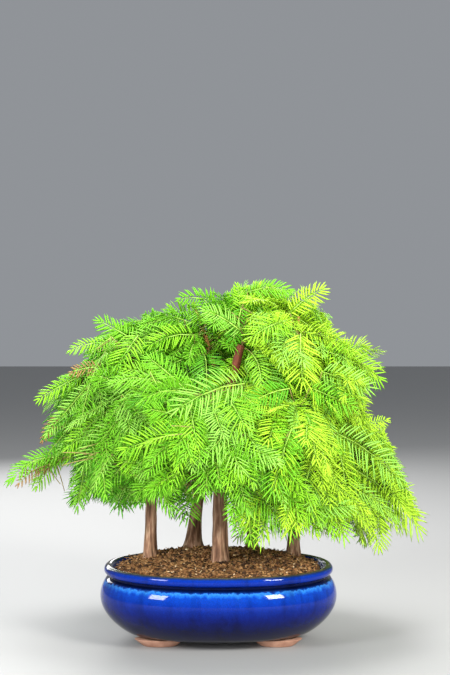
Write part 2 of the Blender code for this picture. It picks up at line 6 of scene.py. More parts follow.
# %% Load the model
import json
import math
import random
from collections import namedtuple

import bpy
import numpy as np
from mathutils import Matrix, Vector, noise

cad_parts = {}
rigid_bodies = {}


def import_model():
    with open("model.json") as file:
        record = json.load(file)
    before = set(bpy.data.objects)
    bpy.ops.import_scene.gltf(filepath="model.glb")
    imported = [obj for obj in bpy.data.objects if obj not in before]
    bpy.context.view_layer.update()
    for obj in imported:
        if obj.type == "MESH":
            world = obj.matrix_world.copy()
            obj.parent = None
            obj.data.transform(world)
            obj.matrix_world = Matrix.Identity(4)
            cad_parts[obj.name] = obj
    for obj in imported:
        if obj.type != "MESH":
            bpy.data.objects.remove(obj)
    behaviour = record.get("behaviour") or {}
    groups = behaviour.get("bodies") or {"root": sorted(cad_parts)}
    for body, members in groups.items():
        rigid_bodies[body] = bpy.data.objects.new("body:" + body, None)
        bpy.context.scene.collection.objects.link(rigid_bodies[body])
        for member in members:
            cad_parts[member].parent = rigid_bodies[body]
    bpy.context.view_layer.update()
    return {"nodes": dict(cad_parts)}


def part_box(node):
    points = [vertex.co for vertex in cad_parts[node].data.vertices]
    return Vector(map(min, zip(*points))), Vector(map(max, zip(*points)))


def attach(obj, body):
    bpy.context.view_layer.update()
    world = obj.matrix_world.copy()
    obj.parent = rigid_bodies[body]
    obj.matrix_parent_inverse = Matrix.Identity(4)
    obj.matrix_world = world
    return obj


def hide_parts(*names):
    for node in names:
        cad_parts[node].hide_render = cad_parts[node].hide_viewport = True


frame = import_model()
print("solids loaded:", len(frame["nodes"]))

# %% [markdown]
# The model's own sizes are repeated here, so that every new piece grows where its solid is. They
# are in millimetres from the middle of the pot, and one shift moves them all into place.

# %% Sizes shared with the solids
MM = 0.001
UP = Vector((0, 0, 1))
CLEAR = 0.35
pot_low, pot_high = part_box("pot")
MIDDLE = Vector(((pot_low.x + pot_high.x) / 2, (pot_low.y + pot_high.y) / 2, 0))
POT_HALF_LENGTH = 140
POT_DEPTH_SHARE = 0.78
BASE_DEPTH_SHARE = 0.70
PLAN_POWER = 2.2
FLOOR_Z = 9
BASE_RADIUS = 101
BELLY_Z = 54
NECK_RADIUS = 127
NECK_Z = 77
WALL = 7.5
SOIL_EDGE_Z = 86
MOUND_RISE = 13
SEAT_DEPTH = 3

Tree = namedtuple("Tree", "foot knee tip foot_radius tip_radius flare")
TREES = {
    "left": Tree((-81, 10), (-80, 10, 205), (-105, 2, 352), 7.8, 1.9, 0.30),
    "centre": Tree((2, -36), (2, -34, 210), (26, -24, 349), 9.8, 4.6, 0.22),
    "back_left": Tree((-31, 62), (-4, 60, 298), (-31, 52, 399), 8.4, 1.5, 0.95),
    "back_right": Tree((41, 76), (48, 76, 229), (71, 68, 374), 7.0, 1.9, 0.45),
    "right": Tree((90, 28), (94, 29, 233), (95, 22, 382), 7.4, 2.1, 0.40),
}

# Where each mass leaves its tree, its bough, and then its own heading, reach and rise
Mass = namedtuple("Mass", "tree height heading reach rise onward out up spread")
MASSES = {
    "left_low": Mass("left", 209, 205, 62, 20, 197, 104, -33, 34),
    "left_side": Mass("left", 245, 202, 47, 28, 196, 72, -8, 50),
    "left_high": Mass("left", 289, 150, 37, 23, 168, 52, 20, 45),
    "left_top": Mass("left", 338, 198, 0, 0, 198, 34, 30, 45),
    "left_front": Mass("left", 226, 255, 72, 26, 238, 76, -47, 55),
    "left_brow": Mass("left", 276, 262, 0, 0, 262, 124, 2, 50),
    "left_back": Mass("left", 253, 111, 78, 22, 124, 92, -48, 60),
    "centre_skirt": Mass("centre", 198, 250, 54, 26, 248, 70, -42, 50),
    "centre_front": Mass("centre", 240, 259, 68, 34, 262, 82, -34, 55),
    "centre_apron": Mass("centre", 218, 295, 56, 20, 285, 50, -80, 45),
    "centre_brow": Mass("centre", 290, 244, 0, 0, 244, 112, 8, 50),
    "centre_top": Mass("centre", 340, 60, 0, 0, 60, 8, 86, 42),
    "back_left_high": Mass("back_left", 356, 178, 0, 0, 178, 84, 36, 45),
    "back_left_top": Mass("back_left", 350, 350, 0, 0, 350, 26, 66, 45),
    "back_left_crest": Mass("back_left", 322, 232, 0, 0, 232, 76, 62, 50),
    "back_left_side": Mass("back_left", 255, 130, 55, 40, 146, 66, 10, 50),
    "back_left_back": Mass("back_left", 230, 98, 82, 36, 106, 84, -50, 60),
    "back_left_low": Mass("back_left", 188, 142, 56, 18, 136, 70, -38, 50),
    "back_right_top": Mass("back_right", 352, 350, 0, 0, 350, 54, 62, 45),
    "back_right_brow": Mass("back_right", 318, 245, 0, 0, 245, 74, 40, 50),
    "back_right_back": Mass("back_right", 270, 88, 78, 20, 100, 84, -48, 60),
    "back_right_side": Mass("back_right", 296, 46, 60, 22, 32, 64, -4, 50),
    "back_right_low": Mass("back_right", 200, 78, 62, 12, 66, 62, -72, 50),
    "right_low": Mass("right", 196, 336, 55, 26, 348, 90, -76, 42),
    "right_side": Mass("right", 232, 4, 42, 26, 10, 76, -14, 50),
    "right_high": Mass("right", 291, 348, 38, 27, 342, 62, 12, 50),
    "right_front": Mass("right", 208, 278, 76, 24, 262, 62, -66, 50),
    "right_brow": Mass("right", 285, 264, 0, 0, 264, 130, -4, 50),
    "right_top": Mass("right", 352, 330, 0, 0, 330, 44, 18, 40),
    "right_back": Mass("right", 243, 64, 78, 16, 62, 84, -58, 60),
}

# The crown's outline as it shows from the front, clockwise from the low left branch, as x and z
VIEW_DISTANCE = 1883
VIEW_HEIGHT = 410
CROWN_OUTLINE = (
    (-254, 178), (-249, 212), (-232, 228), (-204, 222), (-184, 240), (-212, 232), (-206, 254),
    (-178, 276), (-212, 278), (-196, 306), (-164, 324), (-162, 336), (-178, 338), (-160, 354),
    (-146, 356), (-148, 374), (-134, 382), (-96, 376), (-90, 388), (-66, 400), (-34, 408),
    (-6, 414), (20, 408), (24, 430), (34, 428), (56, 424), (84, 416), (118, 424), (124, 402),
    (136, 376), (148, 352), (172, 356), (194, 344), (194, 310), (176, 302), (180, 286),
    (160, 264), (170, 268), (198, 262), (210, 232), (218, 194), (234, 176), (246, 148),
    (222, 124), (196, 124), (190, 108), (164, 112), (160, 132), (152, 120), (136, 124),
    (120, 120), (96, 124), (70, 126), (58, 114), (20, 108), (12, 142), (8, 178), (-12, 172),
    (-24, 142), (-60, 140), (-72, 170), (-88, 158), (-120, 156), (-134, 162), (-160, 172),
    (-166, 154), (-176, 156), (-184, 176), (-170, 206), (-190, 210), (-200, 190), (-218, 178),
    (-224, 196), (-242, 176),
)
CROWN_MIDDLE = (-4, 14)
CROWN_HALF_PLAN = (256, 202)
print("pot middle, m:", [round(n, 4) for n in MIDDLE])
print("trees:", len(TREES), "masses:", len(MASSES))

# %% [markdown]
# The camera copies the photograph: a long lens, a little above the crown's middle, nearly level.
# A pale floor and large soft lights stand in for a studio table.

# %% Camera, floor and lights
VIEW_SIDE_STEP = 7.7
VIEW_TILT = 1.6
LENS = 85
FRAME_HEIGHT = 36
LIT_HEIGHT = 0.24


def add_camera():
    bpy.ops.object.camera_add(
        location=MIDDLE + Vector((VIEW_SIDE_STEP, -VIEW_DISTANCE, VIEW_HEIGHT)) * MM,
        rotation=(math.radians(90 - VIEW_TILT), 0, 0),
    )
    camera = bpy.context.object
    camera.data.lens = LENS
    camera.data.sensor_fit = "VERTICAL"
    camera.data.sensor_height = FRAME_HEIGHT
    bpy.context.scene.camera = camera


def add_floor():
    bpy.ops.mesh.primitive_plane_add(size=14, location=(0, 0, 0))
    floor = bpy.context.object
    floor.name = "floor"
    paper = bpy.data.materials.new("pale_table")
    paper.use_nodes = True
    shader = paper.node_tree.nodes["Principled BSDF"]
    shader.inputs["Base Color"].default_value = (0.36, 0.36, 0.355, 1)
    shader.inputs["Roughness"].default_value = 0.7
    floor.data.materials.append(paper)


def add_soft_light(name, place, size, watts, colour):
    bpy.ops.object.light_add(type="AREA", location=place)
    lamp = bpy.context.object
    lamp.name = name
    lamp.data.size = size
    lamp.data.energy = watts
    lamp.data.color = colour
    aim = Vector((0, 0, LIT_HEIGHT)) - Vector(place)
    lamp.rotation_euler = aim.to_track_quat("-Z", "Y").to_euler()


# Name, place, size in metres, watts and colour. The front one gives light without a reflection.
SOFT_LIGHTS = (
    ("key_softbox", (1.35, -1.45, 1.15), 0.6, 56, (1.0, 0.98, 0.94)),
    ("fill_softbox", (-1.45, -1.4, 1.0), 0.6, 36, (0.97, 0.98, 1.0)),
    ("front_softbox", (0.1, -2.3, 0.7), 1.2, 36, (1.0, 1.0, 1.0)),
    ("top_softbox", (0.0, 0.2, 1.8), 1.0, 30, (1, 1, 1)),
    ("back_softbox", (-0.5, 1.6, 1.0), 1.2, 24, (1, 1, 1)),
)
bpy.ops.object.select_all(action="DESELECT")
add_camera()
add_floor()
for row in SOFT_LIGHTS:
    add_soft_light(*row)
bpy.data.objects["front_softbox"].visible_glossy = False
world = bpy.context.scene.world or bpy.data.worlds.new("studio")
bpy.context.scene.world = world
world.use_nodes = True
sky = world.node_tree.nodes["Background"]
sky.inputs["Color"].default_value = (0.8, 0.84, 0.9, 1)
sky.inputs["Strength"].default_value = 0.35
bpy.context.scene.view_settings.view_transform = "Standard"
print("lights:", sum(o.type == "LIGHT" for o in bpy.data.objects))

# %% [markdown]
# Materials are small node groups of shader, noise and colour ramp. A helper makes the shader and
# ties a noise pattern to it on Object coordinates, so the pattern sits still on the piece. A colour
# that changes with height, as on the glaze and on young wood, reads the same coordinates. Images
# would need maps for each piece, so nodes are simpler here.

# %% Material helpers
Finish = namedtuple("Finish", "material shader nodes links")


def new_finish(name, colour, roughness):
    made = bpy.data.materials.new(name)
    made.use_nodes = True
    shader = made.node_tree.nodes["Principled BSDF"]
    shader.inputs["Base Color"].default_value = (*colour, 1)
    shader.inputs["Roughness"].default_value = roughness
    return Finish(made, shader, made.node_tree.nodes, made.node_tree.links)


def pattern(finish, scale, stretch=(1, 1, 1), detail=6, distortion=0.0):
    """A noise on Object coordinates, stretched along the axes that have a small number."""
    place = finish.nodes.new("ShaderNodeTexCoord")
    stretched = finish.nodes.new("ShaderNodeMapping")
    stretched.inputs["Scale"].default_value = stretch
    cloud = finish.nodes.new("ShaderNodeTexNoise")
    cloud.inputs["Scale"].default_value = scale
    cloud.inputs["Detail"].default_value = detail
    cloud.inputs["Distortion"].default_value = distortion
    finish.links.new(place.outputs["Object"], stretched.inputs["Vector"])
    finish.links.new(stretched.outputs["Vector"], cloud.inputs["Vector"])
    return cloud.outputs["Fac"]


def ramp(finish, source, stops):
    """Turns a number into a colour through stops of (place, colour)."""
    node = finish.nodes.new("ShaderNodeValToRGB")
    band = node.color_ramp
    while len(band.elements) < len(stops):
        band.elements.new(0.5)
    for element, (place, colour) in zip(band.elements, stops):
        element.position = place
        element.color = (*colour, 1)
    finish.links.new(source, node.inputs["Fac"])
    return node.outputs["Color"]


def bump(finish, source, strength, distance):
    node = finish.nodes.new("ShaderNodeBump")
    node.inputs["Strength"].default_value = strength
    node.inputs["Distance"].default_value = distance
    finish.links.new(source, node.inputs["Height"])
    finish.links.new(node.outputs["Normal"], finish.shader.inputs["Normal"])


def mixed(finish, kind, share, first, second):
    """Mixes two colours by a share, which may be a socket."""
    node = finish.nodes.new("ShaderNodeMix")
    node.data_type = "RGBA"
    node.blend_type = kind
    if isinstance(share, float):
        node.inputs[0].default_value = share
    else:
        finish.links.new(share, node.inputs[0])
    finish.links.new(first, node.inputs[6])
    finish.links.new(second, node.inputs[7])
    return node.outputs[2]


def height_share(finish, low, high, wander):
    """The height between two levels as a share, wandering by a streaky noise."""
    place = finish.nodes.new("ShaderNodeTexCoord")
    split = finish.nodes.new("ShaderNodeSeparateXYZ")
    finish.links.new(place.outputs["Object"], split.inputs["Vector"])
    moved = finish.nodes.new("ShaderNodeMath")
    moved.operation = "MULTIPLY_ADD"
    finish.links.new(pattern(finish, 170, (1, 1, 0.16), 7, 0.2), moved.inputs[0])
    moved.inputs[1].default_value = wander
    finish.links.new(split.outputs["Z"], moved.inputs[2])
    share = finish.nodes.new("ShaderNodeMapRange")
    share.inputs["From Min"].default_value = low + wander / 2
    share.inputs["From Max"].default_value = high + wander / 2
    finish.links.new(moved.outputs[0], share.inputs["Value"])
    return share.outputs["Result"]


BLACK_TO_WHITE = ((0, (0, 0, 0)), (1, (1, 1, 1)))


def grey(value):
    return (value, value, value)


print("materials so far:", len(bpy.data.materials))

# %% [markdown]
# Rings are the start of the pot, the soil and every limb. A circle is extruded ring by ring, as by
# hand, and the ends are filled. Code then moves the points to the oval plan or along a limb. Spin
# would do for the pot alone, but this one helper serves round bars too.

# %% Rings
def stack_rings(name, profile, sides):
    """Extrudes a circle through rings of (radius, z) and closes both ends."""
    bpy.ops.object.select_all(action="DESELECT")
    radius, z = profile[0]
    bpy.ops.mesh.primitive_circle_add(vertices=sides, radius=radius, location=(0, 0, 0))
    piece = bpy.context.object
    piece.name = name
    bpy.ops.object.mode_set(mode="EDIT")
    bpy.ops.mesh.select_all(action="SELECT")
    bpy.ops.transform.translate(value=(0, 0, z))
    for new_radius, new_z in profile[1:]:
        bpy.ops.mesh.extrude_edges_move(TRANSFORM_OT_translate={"value": (0, 0, new_z - z)})
        share = new_radius / radius
        bpy.ops.transform.resize(value=(share, share, 1), center_override=(0, 0, new_z))
        radius, z = new_radius, new_z
    bpy.ops.mesh.select_all(action="DESELECT")
    bpy.ops.mesh.select_non_manifold()
    bpy.ops.mesh.edge_face_add()
    bpy.ops.mesh.select_all(action="SELECT")
    bpy.ops.mesh.normals_make_consistent(inside=False)
    bpy.ops.object.mode_set(mode="OBJECT")
    return piece


def points_of(piece):
    mesh = piece.data
    flat = np.empty(len(mesh.vertices) * 3)
    mesh.vertices.foreach_get("co", flat)
    return flat.reshape(-1, 3)


def move_points(piece, points):
    piece.data.vertices.foreach_set("co", np.asarray(points, dtype=np.float64).ravel())
    piece.data.update()


def to_oval(points):
    """Squeezes a turned shape to the pot's plan and puts it in its place, in metres."""
    radius = np.hypot(points[:, 0], points[:, 1])
    c = points[:, 0] / np.maximum(radius, 1e-9)
    s = points[:, 1] / np.maximum(radius, 1e-9)
    power = 2 / PLAN_POWER
    rise = np.clip((points[:, 2] - FLOOR_Z) / (BELLY_Z - FLOOR_Z), 0, 1)
    share = BASE_DEPTH_SHARE + (POT_DEPTH_SHARE - BASE_DEPTH_SHARE) * rise
    x = radius * np.sign(c) * np.abs(c) ** power
    y = radius * np.sign(s) * np.abs(s) ** power * share
    return np.column_stack((x, y, points[:, 2])) * MM + np.array(MIDDLE)


def dress(piece, finish, slot, *nodes):
    piece.data.materials.clear()
    piece.data.materials.append(finish.material)
    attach(piece, "root")
    if nodes:
        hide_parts(*nodes)


print("oval plan: depth", POT_DEPTH_SHARE, "of its length at the belly")

# %% [markdown]
# The pot is thrown stoneware: a round belly, a tight neck and a rolled lip, all under one glaze. A
# subdivided cage would round it too, but its profile follows the solid's own formula instead, with
# many more steps, so that it can't swell past the solid.

# %% The pot's profile
POT_SIDES = 160
LIP_RADIUS = 129.5
LIP_HALF_WIDTH = 6
LIP_Z = 84.5
LIP_HALF_HEIGHT = 5.5


def belly_radius(z):
    if z < BELLY_Z:
        drop = (BELLY_Z - z) / (BELLY_Z - FLOOR_Z)
        return BASE_RADIUS + (POT_HALF_LENGTH - BASE_RADIUS) * math.cos(drop * math.pi / 2) ** 0.7
    rise = min(1.0, (z - BELLY_Z) / (NECK_Z - BELLY_Z))
    swell = max(0.0, math.cos(rise * math.pi / 2)) ** 0.5
    return NECK_RADIUS + (POT_HALF_LENGTH - NECK_RADIUS) * swell


def lip_point(degrees):
    turn = math.radians(degrees)
    return (LIP_RADIUS + LIP_HALF_WIDTH * math.cos(turn), LIP_Z + LIP_HALF_HEIGHT * math.sin(turn))


def pot_profile():
    under = [(r, FLOOR_Z) for r in (25, 70, 94)]
    turn_up = [(98.5, FLOOR_Z + 0.4), (100.6, FLOOR_Z + 1.6)]
    belly = [(belly_radius(z), z) for z in np.linspace(12, 74.5, 30)]
    neck = [(NECK_RADIUS + 0.6, 76), (NECK_RADIUS + 0.2, 77.5)]
    lip = [lip_point(angle) for angle in range(-70, 171, 12)]
    inside = [(122.6, 84), (120, 79), (124, 70), (132.5, 58), (131, 40), (122, 28), (101, 18)]
    floor = [(70, 17), (25, 17)]
    return under + turn_up + belly + neck + lip + inside + floor


print("rings in the profile:", len(pot_profile()))

# %% [markdown]
# A cobalt glaze runs down while it melts. It is thin and bright on the shoulder and pools nearly black
# in the neck. Towards the foot the belly is darker, partly from the glaze and partly as painted shade
# under the belly. Painted zones would need an image, so two ramps follow the height instead, one for
# the belly and one for the lip, and a streaky noise makes them wander.

# %% The glaze
# Share of the height, and the colour there
BELLY_GLAZE_AND_SHADE = (
    # The lowest stops are partly the glaze and partly painted shade under the belly.
    (0.0, (0.0005, 0.0015, 0.016)),
    (0.26, (0.0006, 0.0035, 0.055)),
    (0.50, (0.0008, 0.009, 0.15)),
    (0.70, (0.001, 0.022, 0.26)),
    (0.86, (0.002, 0.045, 0.38)),
    (0.905, (0.012, 0.13, 0.56)),
    (0.93, (0.03, 0.20, 0.62)),
    (0.95, (0.003, 0.035, 0.25)),
    (0.985, (0.001, 0.006, 0.06)),
)
LIP_GLAZE = (
    (0.0, (0.001, 0.006, 0.05)),
    (0.16, (0.001, 0.003, 0.022)),
    (0.30, (0.001, 0.010, 0.12)),
    (0.45, (0.001, 0.022, 0.28)),
    (0.80, (0.001, 0.026, 0.30)),
    (0.90, (0.012, 0.03, 0.10)),
    (0.96, (0.09, 0.075, 0.035)),
)


def glaze():
    finish = new_finish("cobalt_glaze", (0.01, 0.04, 0.4), 0.06)
    # The belly ramp holds painted shade under the belly as well as the glaze.
    belly = ramp(finish, height_share(finish, 0.010, 0.0765, 0.010), BELLY_GLAZE_AND_SHADE)
    lip = ramp(finish, height_share(finish, 0.0735, 0.0905, 0.0012), LIP_GLAZE)
    above = ramp(finish, height_share(finish, 0.0728, 0.0745, 0), BLACK_TO_WHITE)
    zoned = mixed(finish, "MIX", above, belly, lip)
    grain = pattern(finish, 1300, detail=2)
    speckle = ramp(finish, grain, ((0.42, grey(0.62)), (0.62, grey(1.15))))
    grainy = mixed(finish, "MULTIPLY", 0.8, zoned, speckle)
    streaks = pattern(finish, 55, (1, 1, 0.12), 3)
    runs = ramp(finish, streaks, ((0.34, grey(0.45)), (0.52, grey(1))))
    colour = mixed(finish, "MULTIPLY", 0.7, grainy, runs)
    finish.links.new(colour, finish.shader.inputs["Base Color"])
    bump(finish, pattern(finish, 70, detail=2), 0.05, 0.001)
    finish.shader.inputs["Specular IOR Level"].default_value = 0.24
    return finish


pot_glaze = glaze()
print("glaze stops:", len(BELLY_GLAZE_AND_SHADE) + len(LIP_GLAZE))

# %% [markdown]
# A bonsai pot has drain holes in its floor. They could be left as black discs, but a hole that goes
# through looks right from below as well, so two cylinders cut them with a Boolean.

# %% The pot
DRAIN_SIDE = 48
DRAIN_Z = 13
DRAIN_RADIUS = 9
DRAIN_DEPTH = 30


def make_pot():
    pot = stack_rings("glazed_pot", pot_profile(), POT_SIDES)
    move_points(pot, to_oval(points_of(pot)))
    for side in (-1, 1):
        place = MIDDLE + Vector((side * DRAIN_SIDE, 0, DRAIN_Z)) * MM
        bpy.ops.mesh.primitive_cylinder_add(
            vertices=32, radius=DRAIN_RADIUS * MM, depth=DRAIN_DEPTH * MM, location=place
        )
        drill = bpy.context.object
        cut = pot.modifiers.new("drain", "BOOLEAN")
        cut.operation = "DIFFERENCE"
        cut.object = drill
        bpy.ops.object.select_all(action="DESELECT")
        bpy.context.view_layer.objects.active = pot
        pot.select_set(True)
        bpy.ops.object.modifier_apply(modifier="drain")
        bpy.data.objects.remove(drill)
    bpy.ops.object.shade_smooth_by_angle(angle=math.radians(50))
    dress(pot, pot_glaze, "pot_glaze", "pot")
    return pot


pot = make_pot()
print("pot faces:", len(pot.data.polygons))

# %% [markdown]
# The feet are pads of bare fired clay, pressed on before the firing. A cone with a softened edge
# is close, and a fine noise gives the sandy skin of unglazed clay.

# %% The feet
FOOT_CENTRE = (68, 40)
FOOT_TOP_RADIUS = 30
FOOT_BOTTOM_RADIUS = 18.6
FOOT_DEPTH_SHARE = 0.56
FOOT_EDGE = 1.2
FOOT_HEIGHT = FLOOR_Z - CLEAR


def clay():
    finish = new_finish("bare_clay", (0.45, 0.25, 0.17), 0.9)
    stain = pattern(finish, 90, detail=4)
    colour = ramp(finish, stain, ((0.3, (0.36, 0.18, 0.12)), (0.7, (0.56, 0.32, 0.22))))
    finish.links.new(colour, finish.shader.inputs["Base Color"])
    bump(finish, pattern(finish, 900, detail=3), 0.25, 0.0006)
    return finish


def make_foot(name, x, y, finish):
    bpy.ops.object.select_all(action="DESELECT")
    bpy.ops.mesh.primitive_cone_add(
        vertices=64,
        radius1=FOOT_BOTTOM_RADIUS * MM,
        radius2=FOOT_TOP_RADIUS * MM,
        depth=FOOT_HEIGHT * MM,
        location=MIDDLE + Vector((x, y, FOOT_HEIGHT / 2)) * MM,
        scale=(1, FOOT_DEPTH_SHARE, 1),
    )
    foot = bpy.context.object
    bpy.ops.object.transform_apply(location=True, rotation=True, scale=True)
    soften = foot.modifiers.new("soften", "BEVEL")
    soften.width = FOOT_EDGE * MM
    soften.segments = 3
    soften.angle_limit = math.radians(35)
    bpy.ops.object.modifier_apply(modifier="soften")
    bpy.ops.object.shade_smooth_by_angle(angle=math.radians(50))
    foot.name = f"clay_{name}"
    dress(foot, finish, "foot_clay", name)


foot_clay = clay()
for depth_word, front in (("front", -1), ("back", 1)):
    for side_word, side in (("left", -1), ("right", 1)):
        name = f"pot_foot_{depth_word}_{side_word}"
        make_foot(name, side * FOOT_CENTRE[0], front * FOOT_CENTRE[1], foot_clay)
print("feet: 4")

# %% [markdown]
# A young dawn redwood has a straight trunk that flares at the foot, and slender boughs that leave it
# in an arch. The new limbs have to sit where the solids are, so the solids' own formulas are
# written again here. They give any point of a trunk, a bough or a stem, and no mesh is read.

# %% Lines of the limbs
def soil_height(x, y):
    """The mound: low at the lip, higher towards the back."""
    long_half = NECK_RADIUS - WALL
    deep_half = long_half * POT_DEPTH_SHARE
    across, deep = abs(x / long_half), abs(y / deep_half)
    out = (across ** PLAN_POWER + deep ** PLAN_POWER) ** (1 / PLAN_POWER)
    swell = 1 - min(1.0, out) ** 3.5
    return SOIL_EDGE_Z + MOUND_RISE * swell * (1 + 0.25 * y / deep_half)


def foot_height(tree):
    return soil_height(*tree.foot) - SEAT_DEPTH + CLEAR


def trunk_point(tree, z):
    foot = Vector((*tree.foot, foot_height(tree)))
    knee, tip = Vector(tree.knee), Vector(tree.tip)
    if z <= knee.z:
        share = (z - foot.z) / (knee.z - foot.z)
        spot = foot.lerp(knee, share * share * (3 - 2 * share))
    else:
        spot = knee.lerp(tip, ((z - knee.z) / (tip.z - knee.z)) ** 1.5)
    return Vector((spot.x, spot.y, z))


def trunk_radius(tree, z):
    foot_z = foot_height(tree)
    share = (z - foot_z) / (tree.tip[2] - foot_z)
    plain = tree.foot_radius + (tree.tip_radius - tree.foot_radius) * share
    return plain + tree.flare * tree.foot_radius * math.exp(-(z - foot_z) / 11)


def level(degrees):
    turn = math.radians(degrees)
    return Vector((math.cos(turn), math.sin(turn), 0))


def bark_start(mass):
    tree = TREES[mass.tree]
    z = mass.height
    along = (trunk_point(tree, z + 4) - trunk_point(tree, z - 4)).normalized()
    out = level(mass.heading)
    square = (out - along * out.dot(along)).normalized()
    return trunk_point(tree, z) + square * (trunk_radius(tree, z) + CLEAR), square


def arched(start, square, end, arch, count):
    first = start + square * 4
    span = end - first
    points = [start]
    for i in range(count):
        t = i / (count - 1)
        points.append(first + span * t + UP * (arch * span.length * 4 * t * (1 - t)))
    return points


def bough_points(mass, count=4):
    start, square = bark_start(mass)
    trunk = trunk_point(TREES[mass.tree], mass.height)
    end = trunk + level(mass.heading) * mass.reach + UP * mass.rise
    return arched(start, square, end, 0.06, count)


def stem_points(mass, count=3):
    if mass.reach:
        bough = bough_points(mass)
        way = (bough[-1] - bough[-2]).normalized()
        start = bough[-1] + way * CLEAR
    else:
        start, way = bark_start(mass)
    span = level(mass.onward) * mass.out + UP * mass.up
    share = max(0.34, 1 - min(0.62, 61.2 / span.length))
    return arched(start, way, start + span * share, 0.10, count), start + span


print("trunk feet, mm:", {name: round(foot_height(tree), 1) for name, tree in TREES.items()})

# %% [markdown]
# Its bark is tan and stringy, and peels in long strips over darker wood, with some green on the old
# part, and red or orange young wood above. Each limb starts as a straight bar of rings, which is
# bent along its line while its skin is pushed in and out. A curve with a bevel would be quicker,
# but it stays perfectly round.

# %% Bark
BARK_SIDES = 40
TRUNK_RINGS = 90
BOUGH_SIDES = 14
BOUGH_RINGS = 16
BOUGH_RADIUS = 3.0
BOUGH_TAPER = 0.9


def bark_finish(name, tip_height, tip_colour):
    """Tan bark in strips and patches, with the young wood's colour above a height."""
    finish = new_finish(name, (0.4, 0.25, 0.15), 0.8)
    strips = pattern(finish, 300, (1, 1, 0.10), 8, 0.5)
    stops = (
        (0.30, (0.07, 0.030, 0.016)),
        (0.42, (0.23, 0.115, 0.065)),
        (0.54, (0.42, 0.24, 0.145)),
        (0.70, (0.68, 0.49, 0.35)),
    )
    colour = ramp(finish, strips, stops)
    cloud = pattern(finish, 60, (1, 1, 0.45), 4)
    patches = ramp(finish, cloud, ((0.38, (0.42, 0.36, 0.32)), (0.6, grey(1.1))))
    mottled = mixed(finish, "MULTIPLY", 0.9, colour, patches)
    moss = ramp(finish, pattern(finish, 38, (1, 1, 0.5), 3), ((0.56, grey(0)), (0.72, grey(0.5))))
    green = ramp(finish, strips, ((0.3, (0.10, 0.08, 0.02)), (0.7, (0.40, 0.34, 0.12))))
    aged = mixed(finish, "MIX", moss, mottled, green)
    young = ramp(finish, strips, ((0.3, tuple(c * 0.45 for c in tip_colour)), (0.6, tip_colour)))
    up = height_share(finish, tip_height - 0.012, tip_height + 0.012, 0.01)
    above = ramp(finish, up, BLACK_TO_WHITE)
    finish.links.new(mixed(finish, "MIX", above, aged, young), finish.shader.inputs["Base Color"])
    bump(finish, strips, 0.8, 0.0012)
    return finish


def bark_relief(turn, z, radius, seed):
    """Long strips with narrow furrows, and a few swellings, as a change of radius."""
    ring = Vector((math.cos(turn), math.sin(turn), 0)) * 2.4
    strip = noise.noise(ring + Vector((seed, seed * 2, z * 0.018)))
    fine = noise.noise(ring * 3 + Vector((seed, 0, z * 0.05)))
    lump = noise.noise(ring * 0.5 + Vector((0, seed, z * 0.04)))
    return radius * (0.08 * strip + 0.05 * fine + 0.08 * lump)


def bent_bar(name, line, radius_at, rings, sides, relief, seed):
    """A straight bar of rings, bent along a line from share 0 to share 1, with relief."""
    bar = stack_rings(name, [(1, i) for i in range(rings)], sides)
    frames = []
    for i in range(rings):
        share = i / (rings - 1)
        centre = line(share)
        along = (line(min(1, share + 0.01)) - line(max(0, share - 0.01))).normalized()
        side = along.cross(Vector((0, 1, 0))) if abs(along.z) > 0.7 else along.cross(UP)
        side.normalize()
        frames.append((centre, side, along.cross(side), radius_at(share)))
    placed = []
    for x, y, z in points_of(bar):
        centre, side, other, radius = frames[round(z)]
        turn = math.atan2(y, x)
        radius += relief(turn, centre.z if abs(other.z) < 0.5 else centre.length, radius, seed)
        placed.append((centre + (side * math.cos(turn) + other * math.sin(turn)) * radius) * MM + MIDDLE)
    move_points(bar, placed)
    bpy.ops.object.select_all(action="DESELECT")
    bar.select_set(True)
    bpy.context.view_layer.objects.active = bar
    bpy.ops.object.mode_set(mode="EDIT")
    bpy.ops.mesh.select_all(action="SELECT")
    bpy.ops.mesh.normals_make_consistent(inside=False)
    bpy.ops.object.mode_set(mode="OBJECT")
    bpy.ops.object.shade_smooth_by_angle(angle=math.radians(60))
    return bar


def along_points(points):
    """A line through points, read by share from 0 to 1."""
    lengths = [0.0]
    for a, b in zip(points, points[1:]):
        lengths.append(lengths[-1] + (b - a).length)

    def line(share):
        goal = min(1.0, max(0.0, share)) * lengths[-1]
        i = min(max(k for k in range(len(points)) if lengths[k] <= goal), len(points) - 2)
        return points[i].lerp(points[i + 1], (goal - lengths[i]) / (lengths[i + 1] - lengths[i]))

    return line


def join(name, pieces):
    bpy.ops.object.select_all(action="DESELECT")
    for piece in pieces:
        piece.select_set(True)
    bpy.context.view_layer.objects.active = pieces[0]
    if len(pieces) > 1:
        bpy.ops.object.join()
    pieces[0].name = name
    return pieces[0]


def make_trunk(name, tree, finish, seed):
    foot_z, tip_z = foot_height(tree), tree.tip[2]

    def height(share):
        return foot_z + (tip_z - foot_z) * share ** 1.15

    bar = bent_bar(
        f"bark_trunk_{name}",
        lambda share: trunk_point(tree, height(share)),
        lambda share: trunk_radius(tree, height(share)),
        TRUNK_RINGS,
        BARK_SIDES,
        bark_relief,
        seed,
    )
    dress(bar, finish, "bark", f"trunk_{name}")


def bough_radius(share):
    return BOUGH_RADIUS - BOUGH_TAPER * share


def make_boughs(tree_name, finish, seed):
    bars = []
    nodes = []
    for name, mass in MASSES.items():
        if mass.tree == tree_name and mass.reach:
            line = along_points(bough_points(mass, 8))
            number = seed + len(bars)
            bars.append(
                bent_bar(name, line, bough_radius, BOUGH_RINGS, BOUGH_SIDES, bark_relief, number)
            )
            nodes.append(f"bough_{name}")
    boughs = join(f"bark_boughs_{tree_name}", bars)
    dress(boughs, finish, "bark", *nodes)


